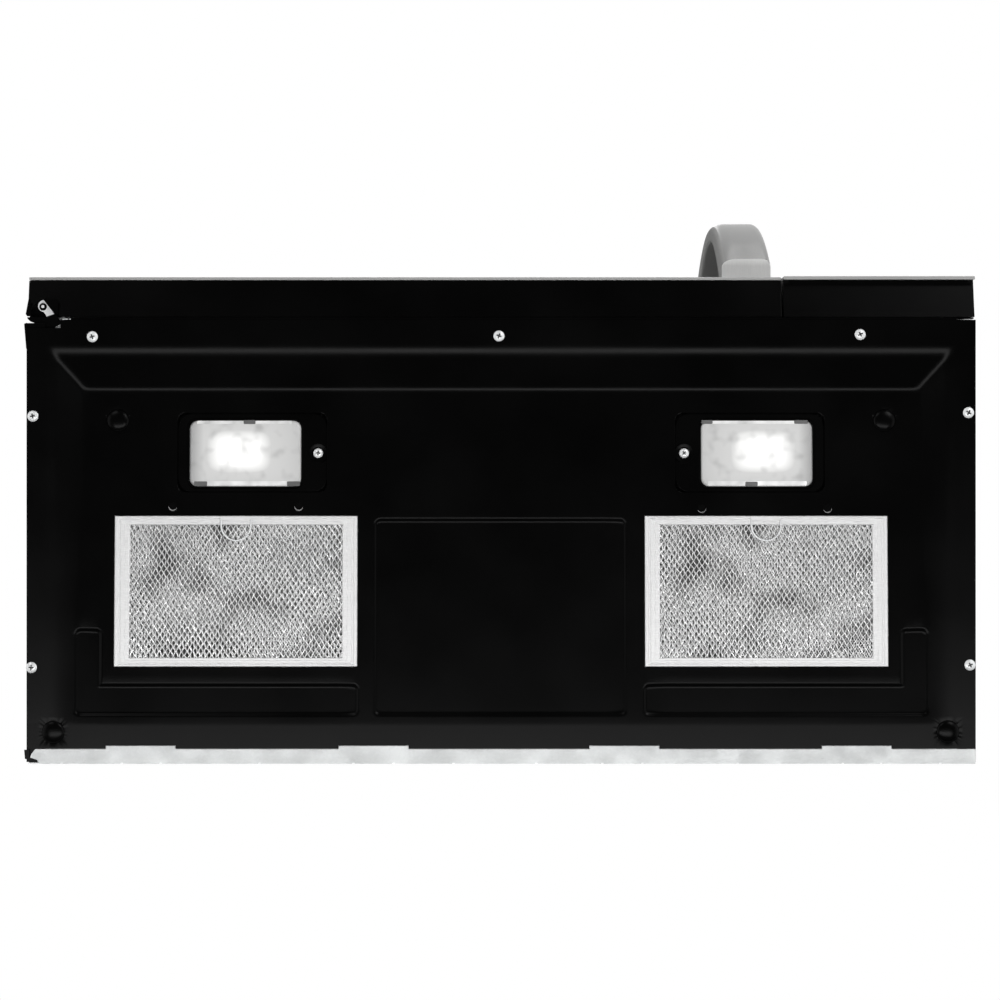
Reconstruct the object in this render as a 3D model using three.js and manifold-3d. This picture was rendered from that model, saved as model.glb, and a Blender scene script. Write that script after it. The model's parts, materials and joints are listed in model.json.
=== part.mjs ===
// Over-the-range microwave, built as an assembly of separate pieces.
// Millimetres, +Z up, front towards -Y. The origin is the centre of the rear wall face.
import * as THREE from 'three';
import { ConvexGeometry } from 'three/addons/geometries/ConvexGeometry.js';
import { mergeVertices } from 'three/addons/utils/BufferGeometryUtils.js';
import Module from 'manifold-3d';

const wasm = await Module();
wasm.setup();

// ---------------------------------------------------------------- driving dimensions
// Heights are measured from the margin of the bottom cover until the last step.
const GAP = 0.3;                  // running gap between pieces that touch
const SHEET = 1.2;                // outer sheet steel
const LINER = 1;                  // cavity and duct sheet

const CABINET_WIDTH = 759;
const HALF_WIDTH = CABINET_WIDTH / 2;
const CABINET_HEIGHT = 418;
const UPPER_BAY = 121;            // blower and duct space above the cavity
const GRILLE_SPACE = 52;          // from the door top to the roof
const PLATE_TOP = CABINET_HEIGHT - GRILLE_SPACE;   // front plate and door top
const CONTROL_BAY = 179.5;        // from the cavity to the right side
const BODY_DEPTH = 357;           // wall face to the front plate
const DOOR_DEPTH = 32.5;          // back of the door to its stainless front

const SIDE_FRONT_SETBACK = 4.5;   // cabinet sides stop this far behind the front plate
const SIDE_FLANGE = 15;           // inward flange that the bottom cover screws to
const BOTTOM_CLEARANCE = 0.3;     // bottom cover to the flanges above it
const REAR_FLANGE = 24;           // pale strip at the foot of the rear panel
const FRONT_FLANGE = 24;

// Bottom cover
const BASE_FRONT_INSET = 2;       // front edge of the cover behind the front plate
const BASE_CORNER_WIDTH = 27;     // set-back at the hinge corner
const BASE_REAR_INSET = 12.3;
const NOTCH_DEPTH = 4;
const NOTCH_CENTRES = [-288, -102, 98.5, 284];
const NOTCH_WIDTH = 56;
const DISH_DEPTH = 14;            // depth of the dish at its front line
const DISH_FRONT = BODY_DEPTH - 27;           // outer front line from the wall face
const DISH_REAR = 32;
const DISH_HALF_WIDTH = HALF_WIDTH - 19.5;
const DISH_FRONT_SLOPE = 30;      // plan width of the front slope
const DISH_SIDE_SLOPE = 26;       // plan width of the side slopes at the front
const DISH_REAR_SLOPE = 15;       // plan width of the side slopes at the rear
const DIMPLE_RADIUS = 9;
const DIMPLE_HEIGHT = 3;
const DIMPLES = [
  [52 - DISH_HALF_WIDTH, 82 - BODY_DEPTH], [DISH_HALF_WIDTH - 52, 82 - BODY_DEPTH],
  [21.5 - HALF_WIDTH, -25.5], [HALF_WIDTH - 22.5, -26],
];
const SIGHT_HOLE_RADIUS = 3.4;
const FIELD_STEP = 1.5;           // pressed fields rise this much
const FIELD_GROWTH = 1.5;

// Screws of the bottom cover
const SCREW_HEAD_RADIUS = 4.4;
const SCREW_HEAD_HEIGHT = 2.2;
const SCREW_SHANK_RADIUS = 1.9;
const SCREW_LENGTH = 9;
const SCREW_HOLE_RADIUS = 2.3;
const SCREW_SPOTS = [
  [53 - HALF_WIDTH, 15.6 - BODY_DEPTH], [-1.7, 15 - BODY_DEPTH], [HALF_WIDTH - 92.7, 13.8 - BODY_DEPTH],
  [5.5 - HALF_WIDTH, 79 - BODY_DEPTH], [4.3 - HALF_WIDTH, -77.2],
  [HALF_WIDTH - 6.2, 76.2 - BODY_DEPTH], [HALF_WIDTH - 5, -79.2],
];

// Grease filters
const FILTER_WIDTH = 194.6;
const FILTER_LENGTH = 120.6;
const FILTER_THICKNESS = 8;
const FILTER_CENTRE = DISH_HALF_WIDTH - 147.5;
const FILTER_REAR = 77.8;
const FILTER_SIDE_RAIL = 12;
const FILTER_END_RAIL = 7;
const FILTER_SLACK = 0.5;
const MESH_THICKNESS = 4;
const MESH_COLUMNS = 10;
const MESH_ROWS = 4;
const MESH_STRAND = 1.6;
const PULL_RADIUS = 11.8;
const PULL_WIRE = 0.9;
const PULL_LEG = 5;
const PULL_OFFSET = 3;            // wire pivot behind the front edge of the filter
const SIGHT_HOLES = [
  [-51 - FILTER_CENTRE, -205.5], [50 - FILTER_CENTRE, -205.5],
  [FILTER_CENTRE - 51.5, -204], [FILTER_CENTRE + 49.5, -204],
];

// Shallow fields pressed up between and behind the filters
const FILTER_INNER_EDGE = FILTER_CENTRE - FILTER_WIDTH / 2;
const CENTRE_FIELD = {
  left: 12.6 - FILTER_INNER_EDGE,
  right: FILTER_INNER_EDGE - 14.3,
  front: -197,
  rear: -37.8,
};
const SIDE_FIELD = {
  inner: FILTER_INNER_EDGE - 2,
  outer: DISH_HALF_WIDTH - 17.6,
  notch: DISH_HALF_WIDTH - 41,
  front: -109,
  shoulder: -64.8,
  rear: -37.6,
};

// Cooktop lamps
const LAMP = {
  inner: FILTER_CENTRE - 73,
  outer: FILTER_CENTRE + 47.5,
  front: BODY_DEPTH - 75.5,
  rear: BODY_DEPTH - 139.7,
};
const LAMP_POCKET_STEP = 4;
const LAMP_CORNER = 7;
const COVER_CORNER = 11.5;        // rounder than the pocket, so that the cover can swing out
const LAMP_SLACK = 0.5;
const LAMP_PLATE = 1.5;
const LENS = {
  inner: LAMP.inner + 21.5,
  outer: LAMP.outer - 10,
  front: LAMP.front - 6.5,
  rear: LAMP.rear + 5.3,
};
const LENS_CORNER = 6;
const LENS_DEPTH = 3;
const LENS_BEZEL = 3;
const LAMP_SCREW = { x: LAMP.inner + 7.5, y: 108 - BODY_DEPTH };
const LAMP_SCREW_RADIUS = 3.9;
const LAMP_SCREW_LENGTH = 7;
const LAMP_HOLDER_HEIGHT = 24;
const SOCKET_INSET = 12;          // lamp socket behind the lens edge
const SOCKET_DEPTH = 6;

// Oven cavity
const CAVITY_LEFT = 44.5 - HALF_WIDTH;
const CAVITY_RIGHT = HALF_WIDTH - CONTROL_BAY;
const CAVITY_FLOOR = 62;
const CAVITY_TOP = CABINET_HEIGHT - UPPER_BAY;
const CAVITY_REAR = 24;           // back of the cavity from the wall face
const FLOOR_RIGHT_MARGIN = 3;
const DOOR_BOTTOM = 4;

// Door and its hinge
const HINGE_X = 13.5 - HALF_WIDTH;
const HINGE_Y = -BODY_DEPTH - 9.4;
const HINGE_PIN_RADIUS = 2.7;
const HINGE_PIN_LENGTH = 14;
const HINGE_BORE_SLACK = 0.3;
const HINGE_ARM = 2.5;            // thickness of the hinge arm
const HINGE_EYE_RADIUS = 4.8;
const DOOR_SWING_CLEARANCE = HALF_WIDTH - 30.5;   // front plate is set back beyond this
const SETBACK = 8.5;
const DOOR_LEFT = 0.5 - HALF_WIDTH;
const DOOR_RIGHT = CAVITY_RIGHT + 24.8;
const PANEL_LEFT = DOOR_RIGHT + 1.6;
const PANEL_RIGHT = HALF_WIDTH - 0.5;
const DOOR_REAR_GAP = 0.5;
const DOOR_WALL = 1.6;
const DOOR_BACK_WALL = 3;
const CHIN_RISE = 8;              // the underside of the door rises towards the front
const SKIN = 2.4;                 // stainless front with its folded edge
const WINDOW = {
  left: CAVITY_LEFT + 35,
  right: CAVITY_RIGHT - 65,
  bottom: CAVITY_FLOOR + 38,
  top: CAVITY_TOP - 22,
};
const GLASS_THICKNESS = 3.2;
const GLASS_LAP = 8;
const SCREEN_THICKNESS = 0.8;
const CHOKE_DEPTH = 2;
const CHOKE_BAND = 34;

// Handle
const HANDLE_CENTRE = DOOR_RIGHT - 24.2;
const HANDLE_WIDTH = 40;
const HANDLE_LENGTH = 300;
const HANDLE_BOTTOM = PLATE_TOP - 11 - HANDLE_LENGTH;
const HANDLE_REACH = 60;          // outer face of the arch from the door face
const HANDLE_END_DEPTH = 18;
const HANDLE_INNER_REACH = 45;
const HANDLE_FOOT = 24;           // height of each foot on the door
const HANDLE_ROUNDING = 5;

// Latch
const HOOK_X = CAVITY_RIGHT + 12;
const HOOK_WIDTH = 9;
const HOOK_HEIGHTS = [CAVITY_FLOOR + 48, CAVITY_TOP - 12];
const HOOK_TALL = 12;
const HOOK_REACH = 12;            // hook nose behind the front plate
const HOOK_TRAVEL = 5;
const HOOK_PLATE = 2.5;
const SLOT_SLACK = 1.5;
const LATCH_BLOCK_DEPTH = 30;
const LATCH_WALL = 3;
const LATCH_MARGIN = 15;          // housing above and below the hooks

// Turntable
const TRAY_RADIUS = 152;
const TRAY_FLAT_RADIUS = 132;
const TRAY_GLASS = 5;
const TRAY_RIM = 13;
const TRAY_RIM_WALL = 3;
const ROLLER_RADIUS = 8;
const ROLLER_WIDTH = 6;
const ROLLER_PATH = 95;
const ROLLER_COUNT = 3;
const RING_INNER = 80;
const RING_OUTER = 90;
const RING_HEIGHT = 5;
const AXLE_RADIUS = 1.8;
const AXLE_ROOT = 3;              // axle start inside the ring
const AXLE_END = 1.5;             // axle end beyond the roller
const ROLLER_BORE_SLACK = 0.3;
const COUPLER_RADIUS = 15;
const COUPLER_CAP = 4;            // glass tray to the top of the motor shaft
const SHAFT_RADIUS = 3.5;
const TRAY_MOTOR_RADIUS = 25;
const TRAY_MOTOR_HEIGHT = 17;

// Microwave source in the component bay
const GUIDE = { front: 232, rear: 132, bottom: CAVITY_FLOOR + 88, top: CAVITY_TOP - 62, width: 42 };
const GUIDE_WINDOW_INSET = 6;
const MICA_THICKNESS = 1.5;
const MAGNETRON = { width: 78, depth: 88, height: 66 };
const FIN_COUNT = 6;
const FIN_THICKNESS = 1.2;
const TRANSFORMER = { left: CAVITY_RIGHT + 28, front: BODY_DEPTH - 27, width: 92, depth: 72, height: 80 };
const BAY_VENT = { left: CAVITY_RIGHT + 28, right: HALF_WIDTH - 44.5, front: 99, rear: 39 };
const FAN_X = HALF_WIDTH - 79.5;
const FAN_Z = CAVITY_TOP - 7;
const FAN_RADIUS = 48;
const FAN_BLADES = 5;
const FAN_HUB_RADIUS = 9;
const FAN_BLADE_ROOT = 7;
const FAN_BLADE_THICKNESS = 1.6;
const FAN_DEPTH = 16;
const FAN_SHAFT_RADIUS = 2.5;
const FAN_MOTOR = { width: 54, height: 46, depth: 24 };

// Blower above the cavity
const BLOWER = {
  halfWidth: 165,
  front: 125,
  rear: 22,
  bottom: CAVITY_TOP + LINER + 0.6,
  top: CABINET_HEIGHT - 6,
};
const BLOWER_AXIS = { fromWall: 74, z: CAVITY_TOP + 55 };
const BLOWER_WALL = 1.2;
const WHEEL_RADIUS = 42;
const WHEEL_LENGTH = 110;
const WHEEL_BLADES = 14;
const WHEEL_HUB_RADIUS = 9;
const MOTOR_RADIUS = 36;
const MOTOR_LENGTH = 84;
const MOTOR_SHAFT_RADIUS = 4;
const INLET_RADIUS = 36;
const OUTLET_LEDGE = 3;           // outlet of the housing inside the exhaust collar
const WHEEL_RIM = 3;
const WHEEL_DISC = 2;
const WHEEL_HUB_LENGTH = 20;
const WHEEL_END_GAP = 3;

// Exhaust outlet on the roof: 3 1/4 by 10 inch duct
const DUCT_WIDTH = 254;
const DUCT_DEPTH = 82.5;
const DUCT_FROM_WALL = 74;
const COLLAR_HEIGHT = 22;
const COLLAR_FLANGE = 14;
const FLAP_THICKNESS = 1.2;
const FLAP_HEIGHT = 8;            // flap above the roof
const FLAP_SLACK = 0.6;
const FLAP_LEDGE = 4;

// Front grille and charcoal filter
const GRILLE_GAP = 2;
const GRILLE_WALL = 2.5;
const LOUVRE_COLUMNS = 9;
const LOUVRE_ROWS = 3;
const LOUVRE_HEIGHT = 6;
const LOUVRE_RIB = 9;
const CHARCOAL = { halfWidth: 160, thickness: 12, fromGrille: 3 };

// Control panel
const PANEL_WALL = 2.2;
const KEYPAD = { left: PANEL_LEFT + 16.6, right: PANEL_RIGHT - 17, bottom: 46, top: PLATE_TOP - 104 };
const DISPLAY = {
  left: PANEL_LEFT + 31.6,
  right: PANEL_RIGHT - 32,
  bottom: PLATE_TOP - 82,
  top: PLATE_TOP - 42,
};
const FACE_RECESS = 1.2;
const BOARD = {
  left: PANEL_LEFT + 13.6,
  right: PANEL_RIGHT - 15,
  bottom: 66,
  top: PLATE_TOP - 22,
  thickness: 1.6,
};
const BOARD_STANDOFF = 4;
const BOSS_INSET = 8;             // screw bosses from the corners of the board
const BOSS_RADIUS = 4;
const DISPLAY_LEDGE = 4;

const BUSHING = {
  x: HALF_WIDTH - 61.5,
  fromWall: 62,
  radius: 11,
  wall: 4,
  flange: 16,
  flangeThickness: 1.3,
  height: 12,
};

// Roof pressed down around the exhaust and the cord bushing
const ROOF_RECESS = 1.8;
const RECESS_MARGIN = 3;

const INK = 0x141414;
const CURVE_STEPS = 18;

// ---------------------------------------------------------------- derived places
const INNER_HALF_WIDTH = HALF_WIDTH - SHEET;
const FLANGE_LEVEL = SHEET + BOTTOM_CLEARANCE;
const FRONT_PLANE = -BODY_DEPTH;
const DOOR_REAR = FRONT_PLANE - DOOR_REAR_GAP;
const DOOR_FRONT = DOOR_REAR - DOOR_DEPTH;
const SKIN_REAR = DOOR_FRONT + SKIN;
const FRAME_FRONT = SKIN_REAR + GAP;
const GRILLE_BOTTOM = PLATE_TOP + GRILLE_GAP;
const CAVITY_X = (CAVITY_LEFT + CAVITY_RIGHT) / 2;
const CAVITY_Y = (FRONT_PLANE - CAVITY_REAR) / 2;
const DISH_FALL = Math.atan2(DISH_DEPTH, DISH_FRONT - DISH_FRONT_SLOPE - DISH_REAR);

// ---------------------------------------------------------------- geometry helpers
function outward(geometry) {
  const corner = geometry.index.array;
  const place = geometry.attributes.position;
  const a = new THREE.Vector3();
  const b = new THREE.Vector3();
  const c = new THREE.Vector3();
  let volume = 0;
  for (let i = 0; i < corner.length; i += 3) {
    a.fromBufferAttribute(place, corner[i]);
    b.fromBufferAttribute(place, corner[i + 1]);
    c.fromBufferAttribute(place, corner[i + 2]);
    volume += a.dot(b.cross(c));
  }
  if (volume < 0) {
    for (let i = 0; i < corner.length; i += 3) {
      [corner[i], corner[i + 1]] = [corner[i + 1], corner[i]];
    }
  }
  return geometry;
}

function solid(geometry) {
  const bare = geometry.clone();
  bare.deleteAttribute('normal');
  bare.deleteAttribute('uv');
  const merged = outward(mergeVertices(bare, 1e-4));
  return new wasm.Manifold(new wasm.Mesh({
    numProp: 3,
    vertProperties: Float32Array.from(merged.attributes.position.array),
    triVerts: Uint32Array.from(merged.index.array),
  }));
}

function join(...solids) {
  return solids.reduce((sum, next) => sum.add(next));
}

function cut(body, ...tools) {
  return tools.reduce((rest, tool) => rest.subtract(tool), body);
}

function boxGeometry(x0, x1, y0, y1, z0, z1) {
  const geometry = new THREE.BoxGeometry(x1 - x0, y1 - y0, z1 - z0);
  return geometry.translate((x0 + x1) / 2, (y0 + y1) / 2, (z0 + z1) / 2);
}

function box(x0, x1, y0, y1, z0, z1) {
  return solid(boxGeometry(x0, x1, y0, y1, z0, z1));
}

function outline(points) {
  return new THREE.Shape(points.map(([u, v]) => new THREE.Vector2(u, v)));
}

function roundedRectangle(u0, u1, v0, v1, radius) {
  const shape = new THREE.Shape();
  shape.absarc(u1 - radius, v0 + radius, radius, -Math.PI / 2, 0);
  shape.absarc(u1 - radius, v1 - radius, radius, 0, Math.PI / 2);
  shape.absarc(u0 + radius, v1 - radius, radius, Math.PI / 2, Math.PI);
  shape.absarc(u0 + radius, v0 + radius, radius, Math.PI, Math.PI * 1.5);
  return shape;
}

// Prism of a plan outline (x, y) between two heights.
function plinthGeometry(shape, z0, z1, curveSegments = 2) {
  const geometry = new THREE.ExtrudeGeometry(shape, { depth: z1 - z0, bevelEnabled: false, curveSegments });
  return geometry.translate(0, 0, z0);
}

function plinth(shape, z0, z1, curveSegments) {
  return solid(plinthGeometry(shape, z0, z1, curveSegments));
}

// Prism of a front-view outline (x, z) between two depths.
function slabGeometry(shape, y0, y1, curveSegments = 2) {
  const geometry = new THREE.ExtrudeGeometry(shape, { depth: y1 - y0, bevelEnabled: false, curveSegments });
  return geometry.rotateX(Math.PI / 2).translate(0, y1, 0);
}

function slab(shape, y0, y1, curveSegments) {
  return solid(slabGeometry(shape, y0, y1, curveSegments));
}

// Turns a prism drawn along Z into one drawn along X, its outline in (y, z).
const SIDEWAYS = new THREE.Matrix4().makeBasis(
  new THREE.Vector3(0, 1, 0),
  new THREE.Vector3(0, 0, 1),
  new THREE.Vector3(1, 0, 0),
);

// Prism of a side-view outline (y, z) between two widths.
function beam(shape, x0, x1, curveSegments = 2) {
  const geometry = new THREE.ExtrudeGeometry(shape, { depth: x1 - x0, bevelEnabled: false, curveSegments });
  return solid(geometry.applyMatrix4(SIDEWAYS).translate(x0, 0, 0));
}

// Upright, front-to-back and sideways round bars.
function postGeometry(x, y, radius, z0, z1, sides = CURVE_STEPS) {
  const geometry = new THREE.CylinderGeometry(radius, radius, z1 - z0, sides);
  return geometry.rotateX(Math.PI / 2).translate(x, y, (z0 + z1) / 2);
}

function post(x, y, radius, z0, z1, sides) {
  return solid(postGeometry(x, y, radius, z0, z1, sides));
}

function spindle(x, z, radius, y0, y1, sides = CURVE_STEPS) {
  const geometry = new THREE.CylinderGeometry(radius, radius, y1 - y0, sides);
  return solid(geometry.translate(x, (y0 + y1) / 2, z));
}

function axle(y, z, radius, x0, x1, sides = CURVE_STEPS) {
  const geometry = new THREE.CylinderGeometry(radius, radius, x1 - x0, sides);
  return solid(geometry.rotateZ(Math.PI / 2).translate((x0 + x1) / 2, y, z));
}

// Turned shape about an upright axis; points are (radius, height).
function turned(points, sides = CURVE_STEPS) {
  const profile = points.map(([radius, height]) => new THREE.Vector2(radius, height));
  return new THREE.LatheGeometry(profile, sides).rotateX(Math.PI / 2);
}

const microwave = new THREE.Group();
const assembly = new THREE.Group();
assembly.position.z = -CABINET_HEIGHT / 2;
microwave.add(assembly);

function addPiece(name, body, finish, parent = assembly) {
  const raw = body.getMesh();
  const geometry = new THREE.BufferGeometry();
  geometry.setAttribute('position', new THREE.BufferAttribute(raw.vertProperties, 3));
  geometry.setIndex(new THREE.BufferAttribute(raw.triVerts, 1));
  geometry.computeVertexNormals();
  const piece = new THREE.Mesh(geometry, new THREE.MeshStandardMaterial(finish));
  piece.name = name;
  parent.add(piece);
  return piece;
}

// ---------------------------------------------------------------- finishes
const BLACK_ENAMEL = { color: INK, roughness: 0.45, metalness: 0 };
const BLACK_PLASTIC = { color: 0x1a1a1a, roughness: 0.55, metalness: 0 };
const ZINC = { color: 0xd6d8d6, roughness: 0.35, metalness: 0.8 };
const STAINLESS = { color: 0xb4b3b0, roughness: 0.3, metalness: 1 };
const ALUMINIUM = { color: 0xdfe0e0, roughness: 0.4, metalness: 0.9 };
const FROSTED = { color: 0xf2f4f2, roughness: 0.5, metalness: 0 };
const GLASS = { color: 0x1c2021, roughness: 0.05, metalness: 0 };
const CLEAR_GLASS = { color: 0xd4dfdc, roughness: 0.05, metalness: 0 };
const CAVITY_PAINT = { color: 0x9a9a96, roughness: 0.4, metalness: 0 };
const NATURAL_PLASTIC = { color: 0xd9d6cc, roughness: 0.5, metalness: 0 };
const COPPER = { color: 0x9c5a2e, roughness: 0.4, metalness: 0.9 };
const CIRCUIT = { color: 0x2f6b3c, roughness: 0.5, metalness: 0 };
const CHARCOAL_BLACK = { color: 0x242424, roughness: 0.95, metalness: 0 };

// ---------------------------------------------------------------- bottom cover
// The floor of the dish tilts up towards the front; pieces that lie in it share its frame,
// whose y runs from the dish's rear line and whose z is the height above the floor.
const dishFloor = new THREE.Group();
dishFloor.position.y = -DISH_REAR;
dishFloor.rotation.x = -DISH_FALL;
assembly.add(dishFloor);
dishFloor.updateMatrix();

const floorY = (fromWall) => DISH_REAR - fromWall;
const BELOW = -20;

function onDish(geometry) {
  return solid(geometry.applyMatrix4(dishFloor.matrix));
}

function dishHull(growth, lift, drop) {
  const points = [];
  for (const side of [-1, 1]) {
    const edge = side * (DISH_HALF_WIDTH + growth);
    const frontInner = side * (DISH_HALF_WIDTH - DISH_SIDE_SLOPE + growth);
    const rearInner = side * (DISH_HALF_WIDTH - DISH_REAR_SLOPE + growth);
    for (const z of [0, -drop]) {
      points.push(new THREE.Vector3(edge, -DISH_FRONT - growth, z));
      points.push(new THREE.Vector3(edge, -DISH_REAR, z));
    }
    points.push(new THREE.Vector3(frontInner, -DISH_FRONT + DISH_FRONT_SLOPE - growth, DISH_DEPTH + lift));
    points.push(new THREE.Vector3(rearInner, -DISH_REAR, lift));
  }
  return solid(new ConvexGeometry(points));
}

function centreField(growth) {
  const { left, right, front, rear } = CENTRE_FIELD;
  return roundedRectangle(left - growth, right + growth,
    front + DISH_REAR - growth, rear + DISH_REAR + growth, 4 + growth);
}

function sideField(side, growth) {
  const { inner, outer, notch, front, shoulder, rear } = SIDE_FIELD;
  return outline([
    [side * (outer + growth), front + DISH_REAR - growth],
    [side * (notch - growth), front + DISH_REAR - growth],
    [side * (notch - growth), shoulder + DISH_REAR - growth],
    [side * (inner - growth), shoulder + DISH_REAR - growth],
    [side * (inner - growth), rear + DISH_REAR + growth],
    [side * (outer + growth), rear + DISH_REAR + growth],
  ]);
}

function mirroredRectangle(side, spot, growth, radius) {
  const ends = [side * (spot.inner - growth), side * (spot.outer + growth)];
  return roundedRectangle(Math.min(...ends), Math.max(...ends),
    floorY(spot.front + growth), floorY(spot.rear - growth), radius + growth);
}

// Presses a field of the given outline up out of the sheet, as a die does.
function pressUp(panel, field, rise) {
  const raised = onDish(plinthGeometry(field(FIELD_GROWTH), 0, rise + SHEET));
  const hollow = onDish(plinthGeometry(field(0), BELOW, rise));
  return cut(join(panel, raised), hollow);
}

function basePanel() {
  const front = FRONT_PLANE + BASE_FRONT_INSET;
  const cornerFront = FRONT_PLANE + SETBACK;
  const edge = HALF_WIDTH - GAP;
  const rear = -BASE_REAR_INSET;
  const margin = plinth(outline([
    [-edge, cornerFront],
    [-edge + BASE_CORNER_WIDTH, cornerFront],
    [-edge + BASE_CORNER_WIDTH, front],
    [edge, front],
    [edge, rear],
    [-edge, rear],
  ]), 0, SHEET);
  let panel = cut(join(margin, dishHull(SHEET, SHEET, 0)), dishHull(0, 0, -BELOW));
  panel = pressUp(panel, centreField, FIELD_STEP);
  for (const side of [-1, 1]) {
    panel = pressUp(panel, (growth) => sideField(side, growth), FIELD_STEP);
    panel = pressUp(panel, (growth) => mirroredRectangle(side, LAMP, growth, LAMP_CORNER), LAMP_POCKET_STEP);
    const lampWindow = mirroredRectangle(side, LENS, LENS_BEZEL + GAP, LENS_CORNER);
    const filterX = side * FILTER_CENTRE;
    const reach = FILTER_WIDTH / 2 + FILTER_SLACK;
    const filterFront = floorY(FILTER_REAR + FILTER_LENGTH + FILTER_SLACK);
    const filterRear = floorY(FILTER_REAR - FILTER_SLACK);
    panel = cut(
      panel,
      onDish(plinthGeometry(lampWindow, BELOW, -BELOW)),
      onDish(boxGeometry(filterX - reach, filterX + reach, filterFront, filterRear, BELOW, -BELOW)),
      onDish(postGeometry(side * LAMP_SCREW.x, floorY(-LAMP_SCREW.y), SCREW_HOLE_RADIUS, BELOW, -BELOW, 12)),
    );
  }
  const dome = turned([
    [0, -DIMPLE_HEIGHT],
    [DIMPLE_RADIUS * 0.55, -DIMPLE_HEIGHT * 0.75],
    [DIMPLE_RADIUS, 0],
    [DIMPLE_RADIUS, SHEET / 2],
    [0, SHEET / 2],
  ], 12);
  for (const [x, y] of DIMPLES) {
    const floorHeight = Math.max(0, -y - DISH_REAR) * Math.tan(DISH_FALL);
    panel = join(panel, solid(dome.clone().translate(x, y, floorHeight)));
  }
  const notches = NOTCH_CENTRES.map((x) => box(
    x - NOTCH_WIDTH / 2, x + NOTCH_WIDTH / 2, rear - NOTCH_DEPTH, rear + NOTCH_DEPTH, BELOW, -BELOW));
  const holes = SCREW_SPOTS.map(([x, y]) => post(x, y, SCREW_HOLE_RADIUS, BELOW, -BELOW, 12));
  const sights = SIGHT_HOLES.map(([x, y]) => post(x, y, SIGHT_HOLE_RADIUS, BELOW, -BELOW, 12));
  return cut(panel, ...notches, ...holes, ...sights);
}

addPiece('base_panel', basePanel(), BLACK_ENAMEL);

function panScrew(headRadius, length) {
  return turned([
    [0, -SCREW_HEAD_HEIGHT - GAP],
    [headRadius * 0.7, -SCREW_HEAD_HEIGHT * 0.9 - GAP],
    [headRadius, -SCREW_HEAD_HEIGHT * 0.4 - GAP],
    [headRadius, -GAP],
    [SCREW_SHANK_RADIUS, -GAP],
    [SCREW_SHANK_RADIUS, length - 1.5],
    [0, length],
  ], 12);
}

SCREW_SPOTS.forEach(([x, y], index) => {
  const screw = addPiece(`base_screw_${index + 1}`, solid(panScrew(SCREW_HEAD_RADIUS, SCREW_LENGTH)), ZINC);
  screw.position.set(x, y, 0);
});

// ---------------------------------------------------------------- grease filters
// Bent wire: two straight legs joined by half a ring, as long as its own developed length.
function bentWire() {
  const arc = Math.PI * PULL_RADIUS;
  const total = arc + 2 * PULL_LEG;
  const bend = new THREE.Curve();
  bend.getPoint = (t, target = new THREE.Vector3()) => {
    const along = t * total;
    if (along < PULL_LEG) return target.set(-PULL_RADIUS, along, 0);
    if (along > PULL_LEG + arc) return target.set(PULL_RADIUS, total - along, 0);
    const angle = (along - PULL_LEG) / PULL_RADIUS;
    return target.set(-PULL_RADIUS * Math.cos(angle), PULL_LEG + PULL_RADIUS * Math.sin(angle), 0);
  };
  const section = new THREE.Shape().absarc(0, 0, PULL_WIRE, 0, Math.PI * 2);
  return new THREE.ExtrudeGeometry(section, { steps: 12, curveSegments: 4, extrudePath: bend });
}

function expandedMesh(width, length) {
  const sheet = outline([
    [-width / 2, 0], [width / 2, 0], [width / 2, length], [-width / 2, length]]);
  const pitchX = width / MESH_COLUMNS;
  const pitchY = length / MESH_ROWS;
  const halfX = pitchX / 2 - MESH_STRAND / 2;
  const halfY = pitchY / 2 - MESH_STRAND / 2;
  const diamond = (x, y) => outline([[x - halfX, y], [x, y - halfY], [x + halfX, y], [x, y + halfY]]);
  for (let row = 0; row < 2 * MESH_ROWS - 1; row += 1) {
    const stagger = row % 2;
    for (let column = 0; column < MESH_COLUMNS - stagger; column += 1) {
      const x = -width / 2 + pitchX * (column + 0.5 + stagger / 2);
      const y = pitchY * (row / 2 + 0.5);
      sheet.holes.push(diamond(x, y));
    }
  }
  return new THREE.ExtrudeGeometry(sheet, { depth: MESH_THICKNESS, bevelEnabled: false });
}

function addFilter(side, word) {
  const innerWidth = FILTER_WIDTH - 2 * FILTER_SIDE_RAIL;
  const innerLength = FILTER_LENGTH - 2 * FILTER_END_RAIL;
  const filter = new THREE.Group();
  filter.position.set(side * FILTER_CENTRE, floorY(FILTER_REAR + FILTER_LENGTH), 0);
  dishFloor.add(filter);
  const frame = cut(
    box(-FILTER_WIDTH / 2, FILTER_WIDTH / 2, 0, FILTER_LENGTH, 0, FILTER_THICKNESS),
    box(-innerWidth / 2, innerWidth / 2, FILTER_END_RAIL, FILTER_END_RAIL + innerLength, BELOW, -BELOW),
  );
  addPiece(`filter_frame_${word}`, frame, ALUMINIUM, filter);
  const mesh = addPiece(`filter_mesh_${word}`,
    solid(expandedMesh(innerWidth - 2 * GAP, innerLength - 2 * GAP)), ALUMINIUM, filter);
  mesh.position.set(0, FILTER_END_RAIL + GAP, (FILTER_THICKNESS - MESH_THICKNESS) / 2);
  const pull = addPiece(`filter_pull_${word}`, solid(bentWire()), ZINC, filter);
  pull.position.set(0, PULL_OFFSET, -PULL_WIRE - GAP);
}

addFilter(-1, 'left');
addFilter(1, 'right');

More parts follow.
